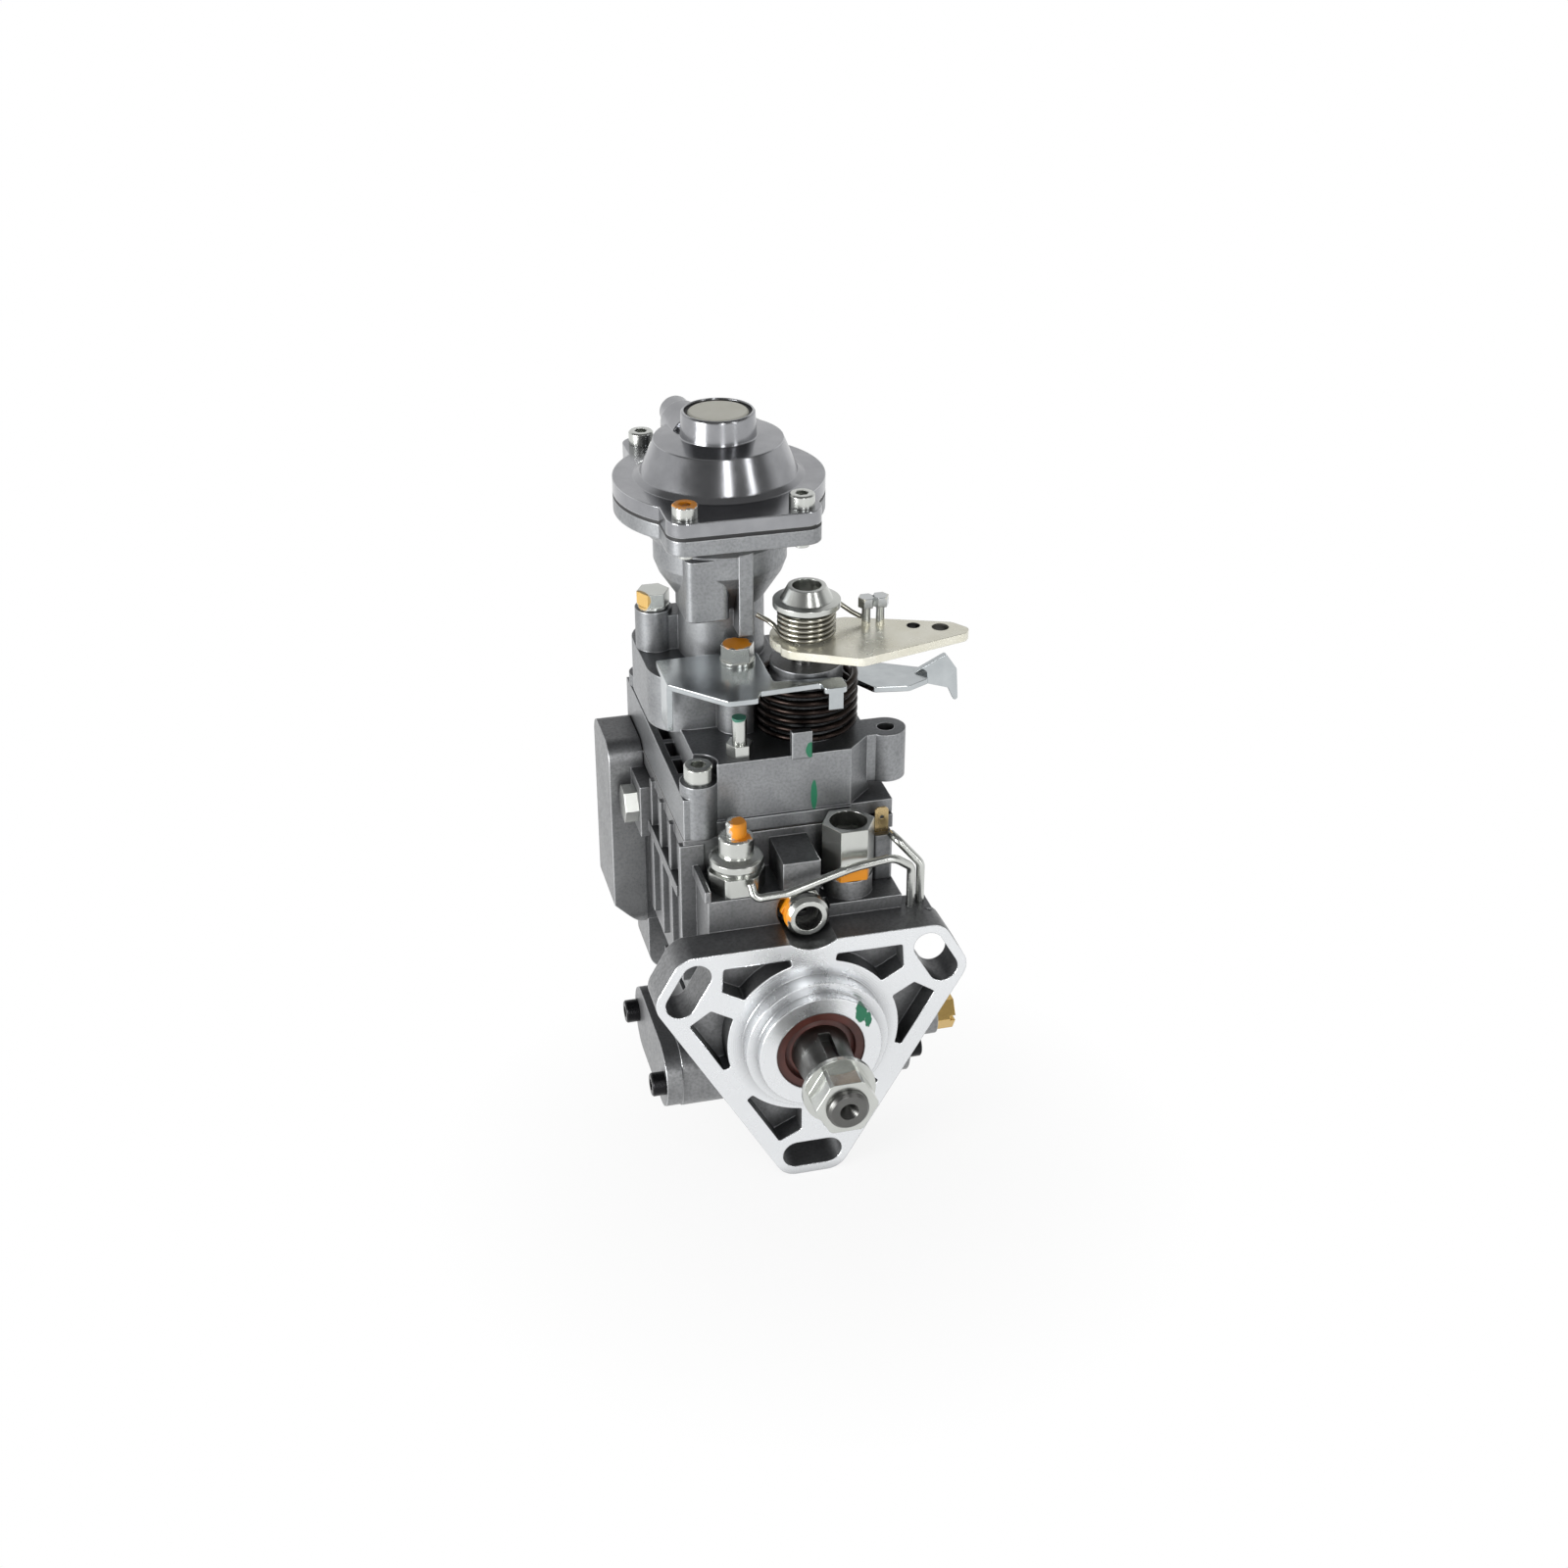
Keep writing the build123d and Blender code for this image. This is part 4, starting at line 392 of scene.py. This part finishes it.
FINISH = {
    cast: ["housing", "timing_covers"],
    head_cast: ["distributor_head"],
    cover_cast: ["governor_cover", "side_switch"],
    cap_cast: ["boost_cap"],
    zinc: ["housing_screws", "shaft_nut", "delivery_valve_holders", "centre_plug", "stop_solenoid",
           "bleed_pipes", "lever_collar"],
    painted_zinc: ["boost_screws", "inlet_fitting", "return_fitting", "front_fitting", "passage_plugs",
                   "full_load_adjuster", "bracket_bolts"],
    blue_zinc: ["spring_bracket", "cable_bracket"],
    yellow_zinc: ["throttle_lever"],
    steel: ["boost_guide_pin", "pump_cam_ring", "pump_support_plate", "vane_rotor", "drive_gear",
            "governor_pins", "flyweight_carrier", "flyweights", "sliding_sleeve", "governor_lever",
            "cross_disc", "roller_ring", "cam_disc", "distributor_plunger", "control_spool",
            "timing_piston", "solenoid_armature", "control_shaft", "boost_spring", "governor_spring",
            "plunger_springs", "timing_spring", "delivery_valve_1", "delivery_valve_2", "delivery_valve_3",
            "delivery_valve_4"],
    bright_wire: ["lever_spring"],
    spring_wire: ["return_spring"],
    black_steel: ["timing_cover_screws"],
    brass: ["front_bush", "spade_terminal"],
    shaft_steel: ["drive_shaft"],
    seal_rubber: ["shaft_seal"],
    black_rubber: ["boost_cap_ring", "boost_diaphragm"],
    cream: ["boost_cap_plug"],
    fibre: ["cover_gasket"],
}
for material, names in FINISH.items():
    for name in names:
        for place in NODES[name].material_slots:
            place.material = material

# ---- Springs in round wire
STEPS_A_TURN = 28
WIRE_SIDES = 12
WIRE_STEPS = 2           # steps between two points of the centre line
X, Y, Z = 0, 1, 2


def coil(node, across, radius, turns, start=0.0):
    """Centre line, in mm, of wire wound along the given axis of the node's own box."""
    low, high = (Vector(corner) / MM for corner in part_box(node))
    middle = (low + high) / 2
    first, second = [axis for axis in (X, Y, Z) if axis != across]
    wound = (high[second] - low[second]) / 2 - radius
    count = round(STEPS_A_TURN * turns)
    points = []
    for i in range(count + 1):
        angle = start + 2 * pi * turns * i / count
        point = middle.copy()
        point[first] += wound * cos(angle)
        point[second] += wound * sin(angle)
        point[across] = low[across] + radius + (high[across] - low[across] - 2 * radius) * i / count
        points.append(point)
    return points


def beside(node, offsets):
    """Points in mm, given from the middle of the node's lowest face."""
    low, high = (Vector(corner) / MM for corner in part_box(node))
    foot = Vector(((low.x + high.x) / 2, (low.y + high.y) / 2, low.z))
    return [foot + Vector(offset) for offset in offsets]


def round_wire_tree():
    """Geometry Nodes that sweep a round section along the object's own curve."""
    tree = bpy.data.node_groups.new("round_wire", "GeometryNodeTree")
    for label, kind in (("Path", "Geometry"), ("Wire radius", "Float"), ("Sides", "Int"),
                        ("Finish", "Material")):
        tree.interface.new_socket(label, in_out="INPUT", socket_type="NodeSocket" + kind)
    tree.interface.new_socket("Wire", in_out="OUTPUT", socket_type="NodeSocketGeometry")
    given = add(tree, "NodeGroupInput").outputs
    section = add(tree, "GeometryNodeCurvePrimitiveCircle", {"Resolution": given["Sides"],
                                                             "Radius": given["Wire radius"]})
    swept = add(tree, "GeometryNodeCurveToMesh", {"Curve": given["Path"], "Profile Curve": section,
                                                  "Fill Caps": True})
    smooth = add(tree, "GeometryNodeSetShadeSmooth", {"Geometry": swept})
    real = add(tree, "GeometryNodeRealizeInstances", {"Geometry": smooth})
    dressed = add(tree, "GeometryNodeSetMaterial", {"Geometry": real, "Material": given["Finish"]})
    add(tree, "NodeGroupOutput", {"Wire": dressed})
    return tree


ROUND_WIRE = round_wire_tree()


def wind_spring(node, points, radius, material, body):
    """Round wire through points in mm, as a plain mesh in the node's place."""
    name = node + "_wire"
    curve = bpy.data.curves.new(name + "_path", "CURVE")
    curve.dimensions = "3D"
    curve.resolution_u = WIRE_STEPS
    spline = curve.splines.new("NURBS")
    spline.points.add(len(points) - 1)
    for spot, point in zip(spline.points, points):
        spot.co = (*(Vector(point) * MM), 1.0)
    spline.use_endpoint_u = True
    spline.order_u = 3
    path = bpy.data.objects.new(name + "_path", curve)
    bpy.context.scene.collection.objects.link(path)
    sweep = path.modifiers.new("round_wire", "NODES")
    sweep.node_group = ROUND_WIRE
    values = {"Wire radius": radius * MM, "Sides": WIRE_SIDES, "Finish": material}
    for socket in ROUND_WIRE.interface.items_tree:
        if socket.name in values:
            sweep[socket.identifier] = values[socket.name]
    mesh = bpy.data.meshes.new_from_object(path.evaluated_get(bpy.context.evaluated_depsgraph_get()))
    mesh.name = name
    bpy.data.objects.remove(path)
    piece = bpy.data.objects.new(name, mesh)
    bpy.context.scene.collection.objects.link(piece)
    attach(piece, body)
    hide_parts(node)
    return piece


def pressed_spring(node, across, radius, turns):
    """Compression spring of round steel wire in the node's place, with a mesh of its own."""
    piece = wind_spring(node, coil(node, across, radius, turns), radius, steel, "housing")
    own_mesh(piece)


# the big torsion spring under the lever
RETURN_WIRE_R = 1.15
RETURN_TURNS = 6
return_line = coil("return_spring", Z, RETURN_WIRE_R, RETURN_TURNS)
wind_spring("return_spring", return_line, RETURN_WIRE_R, spring_wire, "housing")

# the small one on the lever, with its free tail and the arm that bears on the stop screws
LEVER_WIRE_R = 0.85
LEVER_TURNS = 4.5
LEVER_TAIL = [(-15.5, 8, 5.2), (-11, 6.5, 2.9), (-9.4, 3.5, 1.2)]
LEVER_ARM = [(9.3, 4.5, 9), (11, 8.5, 8.3), (15.5, 7.5, 4.7), (19.5, 4.5, 2.1), (22.5, 4.3, 1.3)]
lever_line = (beside("lever_spring", LEVER_TAIL) + coil("lever_spring", Z, LEVER_WIRE_R, LEVER_TURNS, pi)
              + beside("lever_spring", LEVER_ARM))
wind_spring("lever_spring", lever_line, LEVER_WIRE_R, bright_wire, "control_lever")

# the two that are pressed inside the casings
pressed_spring("boost_spring", Z, radius=1.2, turns=5)
pressed_spring("timing_spring", X, radius=1.1, turns=6)

# ---- Floor, light and camera, in metres
WHITE = srgb("FFFFFF")
PAPER = srgb("FDFDFD")
FLOOR_REACH = 6.0              # half the floor's width
SHADOW_END = (0.06, 0.15)      # how far out the floor begins and ends to turn plain white
SHADOW_WHITE = 0.86            # how white it already is at the middle
LIT_POINT = (0, 0.05, 0.06)    # what the softboxes point at
# place, width and height, and watts of each softbox
SOFTBOXES = {
    "front_softbox": ((0.0, -1.3, 0.5), (0.18, 1.2), 5),
    "left_softbox": ((-1.1, -0.4, 0.12), (0.6, 0.5), 18),
    "right_softbox": ((0.8, -0.95, 0.5), (0.12, 1.2), 3),
}
# The pale backdrop reaches higher behind the object than in front of it: along this direction it goes
# from the first level to the second between the two heights.
BACKDROP_LEAN = (0.0, -0.5, 1.0)
BACKDROP_HEIGHTS = (0.25, 0.5)
BACKDROP_LEVELS = (0.85, 0.18)
SENSOR = 36.0                  # mm
LENS = 52.22                   # mm
CAMERA_RIGHT = Vector((0.9677, -0.2521, 0.0))
CAMERA_UP = Vector((0.1208, 0.4636, 0.8778))
CAMERA_BACK = Vector((-0.2213, -0.8494, 0.4791))
CAMERA_OFFSET = (-0.01009, 0.08629, 0.78075)    # along right, up and back


def white_paper():
    """Paper that takes the object's shadow nearby and shows plain white farther out."""
    material, tree = new_material("white_paper")
    where = add(tree, "ShaderNodeTexCoord").outputs["Object"]
    far = add(tree, "ShaderNodeVectorMath", {0: where}, operation="LENGTH").outputs["Value"]
    away = add(tree, "ShaderNodeMapRange", {"Value": far, "From Min": SHADOW_END[0],
                                            "From Max": SHADOW_END[1], "To Min": SHADOW_WHITE})
    rays = add(tree, "ShaderNodeLightPath").outputs
    seen = add(tree, "ShaderNodeMath", {0: rays["Is Camera Ray"], 1: rays["Is Glossy Ray"]},
               operation="MAXIMUM")
    share = add(tree, "ShaderNodeMath", {0: seen, 1: away}, operation="MULTIPLY")
    paper = add(tree, "ShaderNodeBsdfDiffuse", {"Color": PAPER})
    glow = add(tree, "ShaderNodeEmission", {"Color": WHITE, "Strength": 1.0})
    blend = add(tree, "ShaderNodeMixShader", {0: share, 1: paper, 2: glow})
    add(tree, "ShaderNodeOutputMaterial", {"Surface": blend})
    return material


def build_floor():
    """Wide floor at the object's lowest point."""
    mesh = bpy.data.meshes.new("studio_floor")
    low = CAD_BOX[0][2]
    corners = [(x * FLOOR_REACH, y * FLOOR_REACH, low) for x, y in ((-1, -1), (1, -1), (1, 1), (-1, 1))]
    mesh.from_pydata(corners, [], [(0, 1, 2, 3)])
    mesh.materials.append(white_paper())
    floor = bpy.data.objects.new("studio_floor", mesh)
    bpy.context.scene.collection.objects.link(floor)


def build_backdrop():
    """World that is plain white to the camera and lights the object from the backdrop."""
    world = bpy.data.worlds.new("studio_world")
    bpy.context.scene.world = world
    world.use_nodes = True
    sky = world.node_tree
    sky.nodes.clear()
    ray = add(sky, "ShaderNodeTexCoord").outputs["Generated"]
    height = add(sky, "ShaderNodeVectorMath", {0: ray, 1: BACKDROP_LEAN},
                 operation="DOT_PRODUCT").outputs["Value"]
    level = add(sky, "ShaderNodeMapRange", {"Value": height,
                                            "From Min": BACKDROP_HEIGHTS[0], "From Max": BACKDROP_HEIGHTS[1],
                                            "To Min": BACKDROP_LEVELS[0], "To Max": BACKDROP_LEVELS[1]})
    seen = add(sky, "ShaderNodeLightPath").outputs["Is Camera Ray"]
    shown = add(sky, "ShaderNodeMath", {0: level, 1: seen}, operation="MAXIMUM")
    backdrop = add(sky, "ShaderNodeBackground", {"Color": WHITE, "Strength": shown})
    add(sky, "ShaderNodeOutputWorld", {"Surface": backdrop})


def hang_softbox(name, place, size, power):
    """Area lamp that points at the object."""
    lamp = bpy.data.lights.new(name, "AREA")
    lamp.shape = "RECTANGLE"
    lamp.size, lamp.size_y = size
    lamp.energy = power
    softbox = bpy.data.objects.new(name, lamp)
    softbox.location = place
    aim = Vector(LIT_POINT) - Vector(place)
    softbox.rotation_euler = aim.to_track_quat("-Z", "Y").to_euler()
    bpy.context.scene.collection.objects.link(softbox)


def place_camera():
    """Camera that looks down at the flange from the front left."""
    lens = bpy.data.cameras.new("camera")
    lens.sensor_width = SENSOR
    lens.lens = LENS
    camera = bpy.data.objects.new("camera", lens)
    axes = (CAMERA_RIGHT, CAMERA_UP, CAMERA_BACK)
    eye = sum((axis * along for axis, along in zip(axes, CAMERA_OFFSET)), Vector())
    camera.matrix_world = Matrix.Translation(eye) @ Matrix(axes).transposed().to_4x4()
    bpy.context.scene.collection.objects.link(camera)
    bpy.context.scene.camera = camera


build_floor()
build_backdrop()
for name, (place, size, power) in SOFTBOXES.items():
    hang_softbox(name, place, size, power)
place_camera()
bpy.context.scene.view_settings.view_transform = "Standard"
